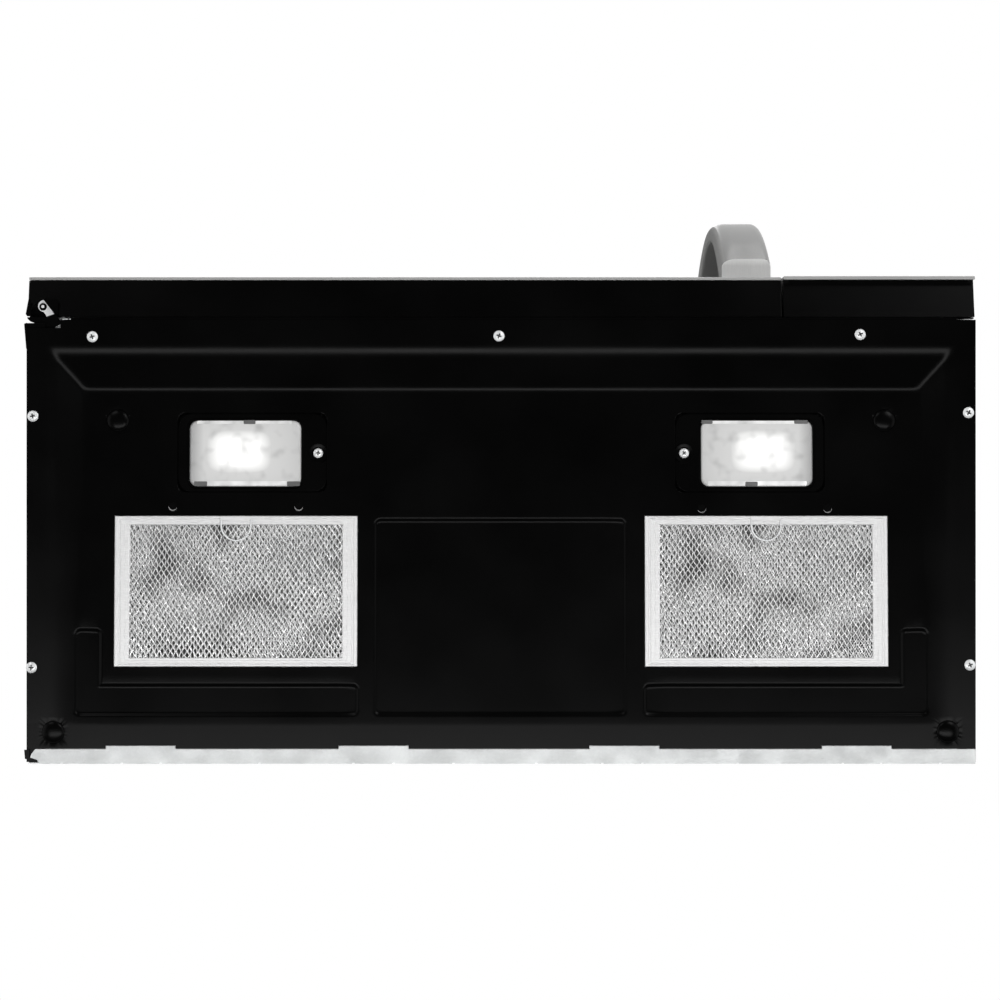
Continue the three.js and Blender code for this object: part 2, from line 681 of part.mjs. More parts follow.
// ---------------------------------------------------------------- cooktop lamps
function addLamp(side, word) {
  const plateTop = LAMP_POCKET_STEP - GAP;
  const plateFoot = plateTop - LAMP_PLATE;
  const screwY = floorY(-LAMP_SCREW.y);
  const cover = cut(
    plinth(mirroredRectangle(side, LAMP, -LAMP_SLACK, COVER_CORNER), plateFoot, plateTop),
    plinth(mirroredRectangle(side, LENS, GAP, LENS_CORNER), BELOW, -BELOW),
    post(side * LAMP_SCREW.x, screwY, SCREW_HOLE_RADIUS, BELOW, -BELOW, 12),
  );
  addPiece(`lamp_cover_${word}`, cover, BLACK_ENAMEL, dishFloor);
  const lensTop = plateTop + GAP + LAMP_PLATE;
  const lens = join(
    plinth(mirroredRectangle(side, LENS, 0, LENS_CORNER), plateFoot - LENS_DEPTH / 2, lensTop),
    plinth(mirroredRectangle(side, LENS, LENS_BEZEL - GAP, LENS_CORNER), plateTop + GAP, lensTop),
  );
  addPiece(`lamp_lens_${word}`, lens, FROSTED, dishFloor);
  const shortScrew = solid(panScrew(LAMP_SCREW_RADIUS, LAMP_SCREW_LENGTH));
  const screw = addPiece(`lamp_screw_${word}`, shortScrew, ZINC, dishFloor);
  screw.position.set(side * LAMP_SCREW.x, screwY, plateFoot);
  const holderFoot = LAMP_POCKET_STEP + SHEET + GAP;
  const holderTop = holderFoot + LAMP_HOLDER_HEIGHT;
  const around = (growth, radius) => mirroredRectangle(side, LENS, growth, radius);
  const holder = join(
    cut(
      plinth(around(2 * LENS_BEZEL + LINER, LENS_CORNER), holderFoot, holderTop),
      plinth(around(2 * LENS_BEZEL, LENS_CORNER), BELOW, holderTop - LINER),
    ),
    plinth(around(-SOCKET_INSET, SOCKET_INSET + 2), holderTop - SOCKET_DEPTH, holderTop - LINER / 2),
  );
  addPiece(`lamp_holder_${word}`, holder, ZINC, dishFloor);
}

addLamp(-1, 'left');
addLamp(1, 'right');

// ---------------------------------------------------------------- outer cabinet
function screwHoles(spots) {
  return spots.map(([x, y]) => post(x, y, SCREW_HOLE_RADIUS, BELOW, FLANGE_LEVEL - BELOW, 12));
}

// Seats pressed down into the roof, so that what is fastened there stays below its face.
function roofSeats(growth, z0, z1) {
  const halfX = DUCT_WIDTH / 2 + COLLAR_FLANGE + RECESS_MARGIN + growth;
  const halfY = DUCT_DEPTH / 2 + COLLAR_FLANGE + RECESS_MARGIN + growth;
  return join(
    box(-halfX, halfX, -DUCT_FROM_WALL - halfY, -DUCT_FROM_WALL + halfY, z0, z1),
    post(BUSHING.x, -BUSHING.fromWall, BUSHING.flange + RECESS_MARGIN + growth, z0, z1),
  );
}

function cabinetCover() {
  const inner = INNER_HALF_WIDTH;
  const foot = FLANGE_LEVEL;
  const top = CABINET_HEIGHT;
  const lip = HALF_WIDTH - SIDE_FLANGE;
  const wrap = slab(outline([
    [-HALF_WIDTH, foot], [-lip, foot], [-lip, foot + SHEET], [-inner, foot + SHEET],
    [-inner, top - SHEET], [inner, top - SHEET], [inner, foot + SHEET], [lip, foot + SHEET],
    [lip, foot], [HALF_WIDTH, foot], [HALF_WIDTH, top], [-HALF_WIDTH, top],
  ]), FRONT_PLANE + SIDE_FRONT_SETBACK, -SHEET - GAP);
  const ductX = DUCT_WIDTH / 2 + GAP;
  const ductY = DUCT_DEPTH / 2 + GAP;
  const seat = top - ROOF_RECESS;
  return cut(
    join(wrap, roofSeats(SHEET, seat - SHEET, top - SHEET / 2)),
    roofSeats(0, seat, top - BELOW),
    box(-ductX, ductX, -DUCT_FROM_WALL - ductY, -DUCT_FROM_WALL + ductY, top - SHEET + BELOW, top - BELOW),
    post(BUSHING.x, -BUSHING.fromWall, BUSHING.radius + GAP, top + BELOW, top - BELOW),
    ...screwHoles(SCREW_SPOTS),
  );
}

addPiece('cabinet_cover', cabinetCover(), BLACK_ENAMEL);

// Clears the side flanges of the cover at both ends of a sheet that stands between them.
function flangeReliefs(y0, y1) {
  const lip = HALF_WIDTH - SIDE_FLANGE - GAP;
  const foot = FLANGE_LEVEL + SHEET + GAP;
  return [
    box(-HALF_WIDTH, -lip, y0, y1, BELOW, foot),
    box(lip, HALF_WIDTH, y0, y1, BELOW, foot),
  ];
}

function rearPanel() {
  const edge = INNER_HALF_WIDTH - GAP;
  const top = CABINET_HEIGHT - SHEET - GAP;
  const profile = outline([
    [0, FLANGE_LEVEL], [0, top], [-SHEET, top],
    [-SHEET, FLANGE_LEVEL + SHEET], [-REAR_FLANGE, FLANGE_LEVEL + SHEET], [-REAR_FLANGE, FLANGE_LEVEL],
  ]);
  return cut(beam(profile, -edge, edge), ...flangeReliefs(-REAR_FLANGE - SHEET, -SHEET));
}

addPiece('rear_panel', rearPanel(), ZINC);

// ---------------------------------------------------------------- oven cavity
const PLATE_FOOT = FLANGE_LEVEL;
const HOOK_HALF = HOOK_WIDTH / 2;

function hookSlot(z, rise, y0, y1) {
  const reach = HOOK_HALF + SLOT_SLACK;
  return box(HOOK_X - reach, HOOK_X + reach, y0, y1, z - SLOT_SLACK, z + HOOK_TALL + rise + SLOT_SLACK);
}

function ovenCavity() {
  const edge = INNER_HALF_WIDTH - GAP;
  const plateBack = FRONT_PLANE + SHEET;
  const step = -DOOR_SWING_CLEARANCE;
  const stepBack = FRONT_PLANE + SETBACK;
  const rear = -CAVITY_REAR;
  const plan = outline([
    [-edge, stepBack], [step, stepBack], [step, FRONT_PLANE], [edge, FRONT_PLANE], [edge, plateBack],
    [step + SHEET, plateBack], [step + SHEET, stepBack + SHEET], [-edge, stepBack + SHEET],
  ]);
  const flangeRear = FRONT_PLANE + FRONT_FLANGE;
  const lip = HALF_WIDTH - SIDE_FLANGE - GAP;
  const flange = (z) => join(
    box(step, lip, FRONT_PLANE, flangeRear, z, z + SHEET),
    box(-lip, step + SHEET, stepBack, flangeRear, z, z + SHEET),
  );
  const bayFloor = box(
    CAVITY_RIGHT, edge - FLOOR_RIGHT_MARGIN, FRONT_PLANE, rear - LINER, CAVITY_FLOOR - LINER, CAVITY_FLOOR);
  const shell = box(
    CAVITY_LEFT - LINER, CAVITY_RIGHT + LINER, FRONT_PLANE, rear + LINER,
    CAVITY_FLOOR - LINER, CAVITY_TOP + LINER);
  const plate = plinth(plan, PLATE_FOOT, PLATE_TOP);
  const body = join(plate, flange(PLATE_FOOT), flange(PLATE_TOP - SHEET), bayFloor, shell);
  const inset = GUIDE_WINDOW_INSET;
  return cut(
    body,
    box(CAVITY_LEFT, CAVITY_RIGHT, FRONT_PLANE + BELOW, rear, CAVITY_FLOOR, CAVITY_TOP),
    box(BOARD.left, BOARD.right, FRONT_PLANE + BELOW, plateBack + LINER, BOARD.bottom + 6, BOARD.top + 6),
    box(CAVITY_RIGHT - LINER, CAVITY_RIGHT + 2 * LINER, -GUIDE.front + inset, -GUIDE.rear - inset,
      GUIDE.bottom + inset, GUIDE.top - inset),
    box(BAY_VENT.left, BAY_VENT.right, -BAY_VENT.front, -BAY_VENT.rear,
      CAVITY_FLOOR + BELOW, CAVITY_FLOOR - BELOW),
    post(CAVITY_X, CAVITY_Y, SHAFT_RADIUS + 1, CAVITY_FLOOR + BELOW, CAVITY_FLOOR - BELOW),
    ...HOOK_HEIGHTS.map((z) => hookSlot(z, HOOK_TRAVEL, FRONT_PLANE + BELOW, plateBack + LINER)),
    ...screwHoles(SCREW_SPOTS),
    ...flangeReliefs(FRONT_PLANE + BELOW, FRONT_PLANE + FRONT_FLANGE - BELOW),
  );
}

addPiece('oven_cavity', ovenCavity(), CAVITY_PAINT);

const micaFace = CAVITY_RIGHT - GAP;
const mica = box(
  micaFace - MICA_THICKNESS, micaFace, -GUIDE.front, -GUIDE.rear, GUIDE.bottom, GUIDE.top);
addPiece('waveguide_cover', mica, NATURAL_PLASTIC);

// ---------------------------------------------------------------- door
// Underside of the door and control panel: it climbs from the back edge to the front edge.
function chin(y) {
  return DOOR_BOTTOM + CHIN_RISE * (DOOR_REAR - y) / DOOR_DEPTH;
}

function chinSection(rear, front, inset) {
  return outline([
    [rear, chin(rear) + inset], [rear, PLATE_TOP - inset],
    [front, PLATE_TOP - inset], [front, chin(front) + inset],
  ]);
}

const NOTCH_CEILING = DOOR_BOTTOM + 9;
const HINGE_BLOCK = 11;           // solid block that takes the hinge pin
const HINGE_BLOCK_LAP = 2;
const HINGE_BLOCK_RIGHT = 20;     // from the hinge axis
const HINGE_BLOCK_FRONT = 12;
const NOTCH_OUTLINE = [[-16, 5.5], [-3.3, -5.6], [2.2, -5.6], [15, 11], [-16, 11]];

function hingeNotch(z0, z1) {
  return plinth(outline(NOTCH_OUTLINE.map(([dx, dy]) => [HINGE_X + dx, HINGE_Y + dy])), z0, z1);
}

function windowBox(growth, y0, y1) {
  const { left, right, bottom, top } = WINDOW;
  return box(left - growth, right + growth, y0, y1, bottom - growth, top + growth);
}

const BACK_WALL_FRONT = DOOR_REAR - CHOKE_DEPTH - DOOR_BACK_WALL;

function doorFrame() {
  const pocket = chinSection(BACK_WALL_FRONT, FRAME_FRONT + BELOW, DOOR_WALL);
  const shell = cut(
    beam(chinSection(DOOR_REAR, FRAME_FRONT, 0), DOOR_LEFT, DOOR_RIGHT),
    beam(pocket, DOOR_LEFT + DOOR_WALL, DOOR_RIGHT - DOOR_WALL),
  );
  const upperNotchFloor = PLATE_TOP - (NOTCH_CEILING - DOOR_BOTTOM);
  const hingeBlock = (z0, z1) => box(
    DOOR_LEFT + DOOR_WALL / 2, HINGE_X + HINGE_BLOCK_RIGHT,
    HINGE_Y - HINGE_BLOCK_FRONT, BACK_WALL_FRONT + DOOR_WALL, z0, z1);
  const body = join(
    shell,
    hingeBlock(NOTCH_CEILING - HINGE_BLOCK_LAP, NOTCH_CEILING + HINGE_BLOCK),
    hingeBlock(upperNotchFloor - HINGE_BLOCK, upperNotchFloor + HINGE_BLOCK_LAP),
  );
  const boreRadius = HINGE_PIN_RADIUS + HINGE_BORE_SLACK;
  const boreTop = NOTCH_CEILING + HINGE_BLOCK - 1.5;
  return cut(
    body,
    hingeNotch(BELOW, NOTCH_CEILING),
    hingeNotch(upperNotchFloor, PLATE_TOP - BELOW),
    post(HINGE_X, HINGE_Y, boreRadius, BELOW, boreTop),
    post(HINGE_X, HINGE_Y, boreRadius, PLATE_TOP + DOOR_BOTTOM - boreTop, PLATE_TOP - BELOW),
    windowBox(0, FRAME_FRONT + BELOW, DOOR_REAR - BELOW),
    windowBox(CHOKE_BAND, DOOR_REAR - CHOKE_DEPTH - GAP, DOOR_REAR - BELOW),
    ...HOOK_HEIGHTS.map((z) => hookSlot(z, HOOK_TRAVEL, BACK_WALL_FRONT + BELOW / 2, DOOR_REAR - BELOW)),
  );
}

const door = new THREE.Group();
assembly.add(door);
addPiece('door_frame', doorFrame(), BLACK_ENAMEL, door);

const chokeCover = cut(
  windowBox(CHOKE_BAND - GAP, DOOR_REAR - CHOKE_DEPTH, DOOR_REAR),
  windowBox(0, DOOR_REAR + BELOW, DOOR_REAR - BELOW),
);
addPiece('choke_cover', chokeCover, BLACK_PLASTIC, door);

const screenRear = BACK_WALL_FRONT - GAP;
addPiece('door_screen', windowBox(GLASS_LAP, screenRear - SCREEN_THICKNESS, screenRear), BLACK_ENAMEL, door);

const doorSkin = cut(
  beam(chinSection(SKIN_REAR, DOOR_FRONT, 0), DOOR_LEFT, DOOR_RIGHT),
  windowBox(0, DOOR_FRONT + BELOW, SKIN_REAR - BELOW),
);
addPiece('door_skin', doorSkin, STAINLESS, door);

const glassFront = SKIN_REAR + GAP;
addPiece('door_glass', windowBox(GLASS_LAP, glassFront, glassFront + GLASS_THICKNESS), GLASS, door);

// Arched bar handle: the outer and inner faces are parabolas over its height.
function handle() {
  const middle = HANDLE_BOTTOM + HANDLE_LENGTH / 2;
  const face = DOOR_FRONT - GAP;
  const arc = (halfSpan, low, high, direction) => {
    const points = [];
    const steps = 10;
    for (let i = 0; i <= steps; i += 1) {
      const u = direction * (2 * i / steps - 1);
      points.push([face - low - (high - low) * (1 - u * u), middle + u * halfSpan]);
    }
    return points;
  };
  const profile = outline([
    [face, HANDLE_BOTTOM],
    ...arc(HANDLE_LENGTH / 2, HANDLE_END_DEPTH, HANDLE_REACH - GAP, 1),
    [face, HANDLE_BOTTOM + HANDLE_LENGTH],
    ...arc(HANDLE_LENGTH / 2 - HANDLE_FOOT, 0, HANDLE_INNER_REACH, -1),
  ]);
  const geometry = new THREE.ExtrudeGeometry(profile, {
    depth: HANDLE_WIDTH - 2 * HANDLE_ROUNDING,
    bevelThickness: HANDLE_ROUNDING,
    bevelSize: HANDLE_ROUNDING,
    bevelOffset: -HANDLE_ROUNDING,
    bevelSegments: 2,
  });
  const start = HANDLE_CENTRE - HANDLE_WIDTH / 2 + HANDLE_ROUNDING;
  return solid(geometry.applyMatrix4(SIDEWAYS).translate(start, 0, 0));
}

addPiece('handle', handle(), STAINLESS, door);

// Sprung latch plate inside the door, with two hooks that reach through the front plate.
function latchHook() {
  const plateRear = BACK_WALL_FRONT - GAP;
  const tip = FRONT_PLANE + SHEET + HOOK_REACH;
  const x0 = HOOK_X - HOOK_HALF;
  const x1 = HOOK_X + HOOK_HALF;
  const top = HOOK_HEIGHTS[HOOK_HEIGHTS.length - 1] + HOOK_TALL;
  const plate = box(x0, x1, plateRear - HOOK_PLATE, plateRear, HOOK_HEIGHTS[0], top);
  const nose = HOOK_TALL * 0.4;
  const hooks = HOOK_HEIGHTS.map((z) => beam(outline([
    [plateRear - HOOK_PLATE, z + nose], [tip - nose, z + nose], [tip - nose, z], [tip - 1, z],
    [tip, z + nose], [tip, z + HOOK_TALL - 3], [tip - 4, z + HOOK_TALL],
    [plateRear - HOOK_PLATE, z + HOOK_TALL],
  ]), x0, x1));
  return join(plate, ...hooks);
}

addPiece('latch_hook', latchHook(), NATURAL_PLASTIC, door);

function latchHousing() {
  const wall = HOOK_HALF + SLOT_SLACK + LATCH_WALL;
  const front = FRONT_PLANE + SHEET + GAP;
  const low = HOOK_HEIGHTS[0] - LATCH_MARGIN;
  const high = HOOK_HEIGHTS[HOOK_HEIGHTS.length - 1] + HOOK_TALL + HOOK_TRAVEL + LATCH_MARGIN;
  return cut(
    box(HOOK_X - wall, HOOK_X + wall, front, front + LATCH_BLOCK_DEPTH, low, high),
    ...HOOK_HEIGHTS.map((z) => hookSlot(z, HOOK_TRAVEL, front + BELOW, front + HOOK_REACH + 4)),
  );
}

addPiece('latch_housing', latchHousing(), BLACK_PLASTIC);

// ---------------------------------------------------------------- door hinges
const HINGE_NECK = [[-2.5, 1.7], [2.5, -1.7], [13, 13.5], [8, 16.9]];
const HINGE_FOOT = { left: 6, right: 15.5, height: 30 };

function hinge(level) {
  const armFoot = DOOR_BOTTOM + 1;
  const armTop = armFoot + HINGE_ARM;
  const flip = (z) => (level < 0 ? z : PLATE_TOP + DOOR_BOTTOM - z);
  const span = (z0, z1) => [Math.min(flip(z0), flip(z1)), Math.max(flip(z0), flip(z1))];
  const neck = HINGE_NECK.map(([dx, dy]) => [HINGE_X + dx, HINGE_Y + dy]);
  const footRear = FRONT_PLANE + SETBACK - GAP;
  const footFront = footRear - HINGE_ARM;
  return join(
    post(HINGE_X, HINGE_Y, HINGE_EYE_RADIUS, ...span(armFoot, armTop)),
    post(HINGE_X, HINGE_Y, HINGE_PIN_RADIUS, ...span(armFoot, armTop + HINGE_PIN_LENGTH)),
    plinth(outline(neck), ...span(armFoot, armTop)),
    box(HINGE_X + HINGE_FOOT.left, HINGE_X + HINGE_FOOT.right, footFront, footRear,
      ...span(armFoot, armFoot + HINGE_FOOT.height)),
  );
}

addPiece('hinge_lower', hinge(-1), ZINC);
addPiece('hinge_upper', hinge(1), ZINC);

// ---------------------------------------------------------------- control panel
function controlPanel() {
  const pocketFront = DOOR_FRONT + PANEL_WALL + FACE_RECESS;
  const pocket = chinSection(DOOR_REAR - BELOW, pocketFront, PANEL_WALL);
  const shell = cut(
    beam(chinSection(DOOR_REAR, DOOR_FRONT, 0), PANEL_LEFT, PANEL_RIGHT),
    beam(pocket, PANEL_LEFT + PANEL_WALL, PANEL_RIGHT - PANEL_WALL),
  );
  const bosses = [];
  for (const x of [BOARD.left + BOSS_INSET, BOARD.right - BOSS_INSET]) {
    for (const z of [BOARD.bottom + BOSS_INSET, BOARD.top - BOSS_INSET]) {
      bosses.push(spindle(x, z, BOSS_RADIUS, pocketFront - LINER, boardFront - GAP, 10));
    }
  }
  const inset = DISPLAY_LEDGE;
  return cut(
    join(shell, ...bosses),
    box(KEYPAD.left - GAP, KEYPAD.right + GAP, DOOR_FRONT + BELOW, DOOR_FRONT + FACE_RECESS,
      KEYPAD.bottom - GAP, KEYPAD.top + GAP),
    box(DISPLAY.left - GAP, DISPLAY.right + GAP, DOOR_FRONT + BELOW, DOOR_FRONT + FACE_RECESS,
      DISPLAY.bottom - GAP, DISPLAY.top + GAP),
    box(DISPLAY.left + inset, DISPLAY.right - inset, DOOR_FRONT + BELOW, pocketFront + LINER,
      DISPLAY.bottom + inset, DISPLAY.top - inset),
  );
}

const boardFront = DOOR_REAR - BOARD_STANDOFF - BOARD.thickness;
addPiece('control_panel', controlPanel(), BLACK_PLASTIC);
addPiece('keypad', box(KEYPAD.left, KEYPAD.right, DOOR_FRONT, DOOR_FRONT + FACE_RECESS - GAP,
  KEYPAD.bottom, KEYPAD.top), BLACK_PLASTIC);
addPiece('display_window', box(DISPLAY.left, DISPLAY.right, DOOR_FRONT, DOOR_FRONT + FACE_RECESS - GAP,
  DISPLAY.bottom, DISPLAY.top), GLASS);
addPiece('control_board', box(BOARD.left, BOARD.right, boardFront, boardFront + BOARD.thickness,
  BOARD.bottom, BOARD.top), CIRCUIT);

// ---------------------------------------------------------------- front grille and charcoal filter
const grilleRear = FRONT_PLANE + SIDE_FRONT_SETBACK - GAP;

function ventGrille() {
  const edge = HALF_WIDTH - GAP;
  const wall = GRILLE_WALL;
  const shell = cut(
    box(-edge, edge, DOOR_FRONT, grilleRear, GRILLE_BOTTOM, CABINET_HEIGHT),
    box(-edge + wall, edge - wall, DOOR_FRONT + wall, grilleRear - BELOW,
      GRILLE_BOTTOM + wall, CABINET_HEIGHT - wall),
  );
  const pitchX = (2 * edge - 2 * LOUVRE_RIB) / LOUVRE_COLUMNS;
  const pitchZ = (CABINET_HEIGHT - GRILLE_BOTTOM - 2 * wall) / LOUVRE_ROWS;
  const louvres = [];
  for (let row = 0; row < LOUVRE_ROWS; row += 1) {
    const z = GRILLE_BOTTOM + wall + pitchZ * (row + 0.5);
    for (let column = 0; column < LOUVRE_COLUMNS; column += 1) {
      const x = -edge + LOUVRE_RIB + pitchX * column;
      louvres.push(box(x + LOUVRE_RIB / 2, x + pitchX - LOUVRE_RIB / 2,
        DOOR_FRONT + BELOW, DOOR_FRONT + wall + LINER,
        z - LOUVRE_HEIGHT / 2, z + LOUVRE_HEIGHT / 2));
    }
  }
  return cut(shell, ...louvres);
}

addPiece('vent_grille', ventGrille(), STAINLESS);

const charcoalFront = grilleRear + CHARCOAL.fromGrille;
addPiece('charcoal_filter', box(-CHARCOAL.halfWidth, CHARCOAL.halfWidth, charcoalFront,
  charcoalFront + CHARCOAL.thickness, PLATE_TOP + GAP, CABINET_HEIGHT - SHEET - GAP), CHARCOAL_BLACK);

// ---------------------------------------------------------------- turntable
const wheelHeight = CAVITY_FLOOR + GAP + ROLLER_RADIUS;
const trayFoot = CAVITY_FLOOR + 2 * GAP + 2 * ROLLER_RADIUS;
const turntable = new THREE.Group();
turntable.position.set(CAVITY_X, CAVITY_Y, 0);
assembly.add(turntable);

const shaftTop = trayFoot - COUPLER_CAP;
const trayMotor = turned([
  [0, CAVITY_FLOOR - LINER - GAP - TRAY_MOTOR_HEIGHT],
  [TRAY_MOTOR_RADIUS, CAVITY_FLOOR - LINER - GAP - TRAY_MOTOR_HEIGHT],
  [TRAY_MOTOR_RADIUS, CAVITY_FLOOR - LINER - GAP],
  [SHAFT_RADIUS, CAVITY_FLOOR - LINER - GAP],
  [SHAFT_RADIUS, shaftTop],
  [0, shaftTop],
]);
addPiece('turntable_motor', solid(trayMotor), ZINC, turntable);

const coupler = turned([
  [SHAFT_RADIUS + GAP, CAVITY_FLOOR + 2 * GAP],
  [COUPLER_RADIUS, CAVITY_FLOOR + 2 * GAP],
  [COUPLER_RADIUS, trayFoot - GAP],
  [0, trayFoot - GAP],
  [0, shaftTop + GAP],
  [SHAFT_RADIUS + GAP, shaftTop + GAP],
  [SHAFT_RADIUS + GAP, CAVITY_FLOOR + 2 * GAP],
]);
addPiece('tray_coupler', solid(coupler), NATURAL_PLASTIC, turntable);

const tray = turned([
  [0, trayFoot],
  [TRAY_FLAT_RADIUS, trayFoot],
  [TRAY_RADIUS, trayFoot + TRAY_RIM - TRAY_RIM_WALL],
  [TRAY_RADIUS, trayFoot + TRAY_RIM],
  [TRAY_RADIUS - TRAY_RIM_WALL, trayFoot + TRAY_RIM],
  [TRAY_FLAT_RADIUS - 2, trayFoot + TRAY_GLASS],
  [0, trayFoot + TRAY_GLASS],
], 36);
addPiece('glass_tray', solid(tray), CLEAR_GLASS, turntable);

const rollerAngles = Array.from({ length: ROLLER_COUNT }, (_, i) => 2 * Math.PI * i / ROLLER_COUNT);

function rollerRing() {
  const low = wheelHeight - RING_HEIGHT / 2;
  const high = wheelHeight + RING_HEIGHT / 2;
  const band = solid(turned([
    [RING_INNER, low], [RING_OUTER, low], [RING_OUTER, high], [RING_INNER, high], [RING_INNER, low],
  ], 36));
  const pinStart = RING_INNER + AXLE_ROOT;
  const pinEnd = ROLLER_PATH + ROLLER_WIDTH / 2 + AXLE_END;
  const pins = rollerAngles.map((angle) => solid(
    new THREE.CylinderGeometry(AXLE_RADIUS, AXLE_RADIUS, pinEnd - pinStart, 10)
      .rotateZ(Math.PI / 2)
      .translate((pinEnd + pinStart) / 2, 0, wheelHeight)
      .rotateZ(angle)));
  return join(band, ...pins);
}

addPiece('roller_ring', rollerRing(), NATURAL_PLASTIC, turntable);

rollerAngles.forEach((angle, index) => {
  const bore = AXLE_RADIUS + ROLLER_BORE_SLACK;
  const wheel = cut(
    axle(0, 0, ROLLER_RADIUS, -ROLLER_WIDTH / 2, ROLLER_WIDTH / 2, 20),
    axle(0, 0, bore, -ROLLER_WIDTH, ROLLER_WIDTH, 10),
  );
  const roller = addPiece(`roller_${index + 1}`, wheel, NATURAL_PLASTIC, turntable);
  roller.position.set(ROLLER_PATH * Math.cos(angle), ROLLER_PATH * Math.sin(angle), wheelHeight);
  roller.rotation.z = angle;
});

// ---------------------------------------------------------------- component bay
const guideLeft = CAVITY_RIGHT + LINER + GAP;
const guideRight = guideLeft + GUIDE.width;
const guideY = -(GUIDE.front + GUIDE.rear) / 2;
const guideZ = (GUIDE.bottom + GUIDE.top) / 2;
const ANTENNA_RADIUS = 8;

const waveguide = cut(
  box(guideLeft, guideRight, -GUIDE.front, -GUIDE.rear, GUIDE.bottom, GUIDE.top),
  box(guideLeft - LINER, guideRight - LINER, -GUIDE.front + LINER, -GUIDE.rear - LINER,
    GUIDE.bottom + LINER, GUIDE.top - LINER),
  axle(guideY, guideZ, ANTENNA_RADIUS + GAP, guideRight + BELOW, guideRight - BELOW),
);
addPiece('waveguide', waveguide, ZINC);

function magnetron() {
  const left = guideRight + GAP;
  const halfDepth = MAGNETRON.depth / 2;
  const halfHeight = MAGNETRON.height / 2;
  const plate = (x, thickness) => box(
    x, x + thickness, guideY - halfDepth, guideY + halfDepth, guideZ - halfHeight, guideZ + halfHeight);
  const pitch = (MAGNETRON.width - FIN_THICKNESS) / (FIN_COUNT + 1);
  const fins = Array.from({ length: FIN_COUNT + 2 }, (_, i) => plate(left + pitch * i, FIN_THICKNESS));
  return join(
    axle(guideY, guideZ, ANTENNA_RADIUS, left - GUIDE.width / 2, left + FIN_THICKNESS, 12),
    axle(guideY, guideZ, halfHeight * 0.6, left, left + MAGNETRON.width, 14),
    ...fins,
  );
}

addPiece('magnetron', magnetron(), ZINC);

const bayFoot = CAVITY_FLOOR + GAP;
const CORE_LEG = 14;
const CORE_YOKE = 12;
const PRIMARY_HEIGHT = 24;
const WINDING_GAP = 6;

function transformer() {
  const { left, front, width, depth, height } = TRANSFORMER;
  const right = left + width;
  const y0 = -front;
  const core = box(left, right, y0 + depth * 0.25, y0 + depth * 0.75, bayFoot, bayFoot + height);
  const winding = (z0, z1) => box(
    left + CORE_LEG, right - CORE_LEG, y0, y0 + depth, bayFoot + z0, bayFoot + z1);
  const primaryTop = CORE_YOKE + PRIMARY_HEIGHT;
  return join(core, winding(CORE_YOKE, primaryTop), winding(primaryTop + WINDING_GAP, height - CORE_YOKE));
}

addPiece('transformer', transformer(), COPPER);

const fanMotorRear = -SHEET - GAP;
const fanMotorFront = fanMotorRear - FAN_MOTOR.depth;
const fanMotor = join(
  box(FAN_X - FAN_MOTOR.width / 2, FAN_X + FAN_MOTOR.width / 2, fanMotorFront, fanMotorRear,
    FAN_Z - FAN_MOTOR.height / 2, FAN_Z + FAN_MOTOR.height / 2),
  spindle(FAN_X, FAN_Z, FAN_SHAFT_RADIUS, fanMotorFront - FAN_DEPTH * 0.7, fanMotorFront + 1, 12),
);
addPiece('fan_motor', fanMotor, ZINC);

function coolingFan() {
  const rear = fanMotorFront - GAP;
  const hub = spindle(0, 0, FAN_HUB_RADIUS, -FAN_DEPTH, 0, 16);
  const blades = Array.from({ length: FAN_BLADES }, (_, i) => solid(
    new THREE.BoxGeometry(FAN_RADIUS - FAN_BLADE_ROOT, FAN_DEPTH * 1.6, FAN_BLADE_THICKNESS)
      .rotateX(Math.PI / 3)
      .translate((FAN_RADIUS + FAN_BLADE_ROOT) / 2, -FAN_DEPTH / 2, 0)
      .rotateY(2 * Math.PI * i / FAN_BLADES)));
  const fan = addPiece('cooling_fan', cut(
    join(hub, ...blades),
    spindle(0, 0, FAN_SHAFT_RADIUS + GAP, -FAN_DEPTH * 0.7 - GAP, 1, 12),
  ), BLACK_PLASTIC);
  fan.position.set(FAN_X, rear, FAN_Z);
}

coolingFan();

// ---------------------------------------------------------------- blower
const blowerY = -BLOWER_AXIS.fromWall;
const blowerZ = BLOWER_AXIS.z;
const partition = MOTOR_LENGTH / 2 + GAP;

function blowerHousing() {
  const { halfWidth, front, rear, bottom, top } = BLOWER;
  const wall = BLOWER_WALL;
  const hollow = cut(
    box(-halfWidth, halfWidth, -front, -rear, bottom, top),
    box(-halfWidth + wall, halfWidth - wall, -front + wall, -rear - wall, bottom + wall, top - wall),
  );
  const divider = (x) => box(
    x, x + wall, -front + wall / 2, -rear - wall / 2, bottom + wall / 2, top - wall / 2);
  const dividers = [divider(-partition - wall), divider(partition)];
  const outletX = DUCT_WIDTH / 2 - OUTLET_LEDGE;
  const outletY = DUCT_DEPTH / 2 - OUTLET_LEDGE;
  return cut(
    join(hollow, ...dividers),
    axle(blowerY, blowerZ, INLET_RADIUS, -halfWidth + BELOW, halfWidth - BELOW, 24)
      .subtract(axle(blowerY, blowerZ, INLET_RADIUS + 1, -halfWidth + 2 * wall, halfWidth - 2 * wall, 24)),
    axle(blowerY, blowerZ, MOTOR_SHAFT_RADIUS + 3, -partition + BELOW, partition - BELOW, 12),
    box(-outletX, outletX, -DUCT_FROM_WALL - outletY, -DUCT_FROM_WALL + outletY, top - 2 * wall, top - BELOW),
  );
}

addPiece('blower_housing', blowerHousing(), ZINC);

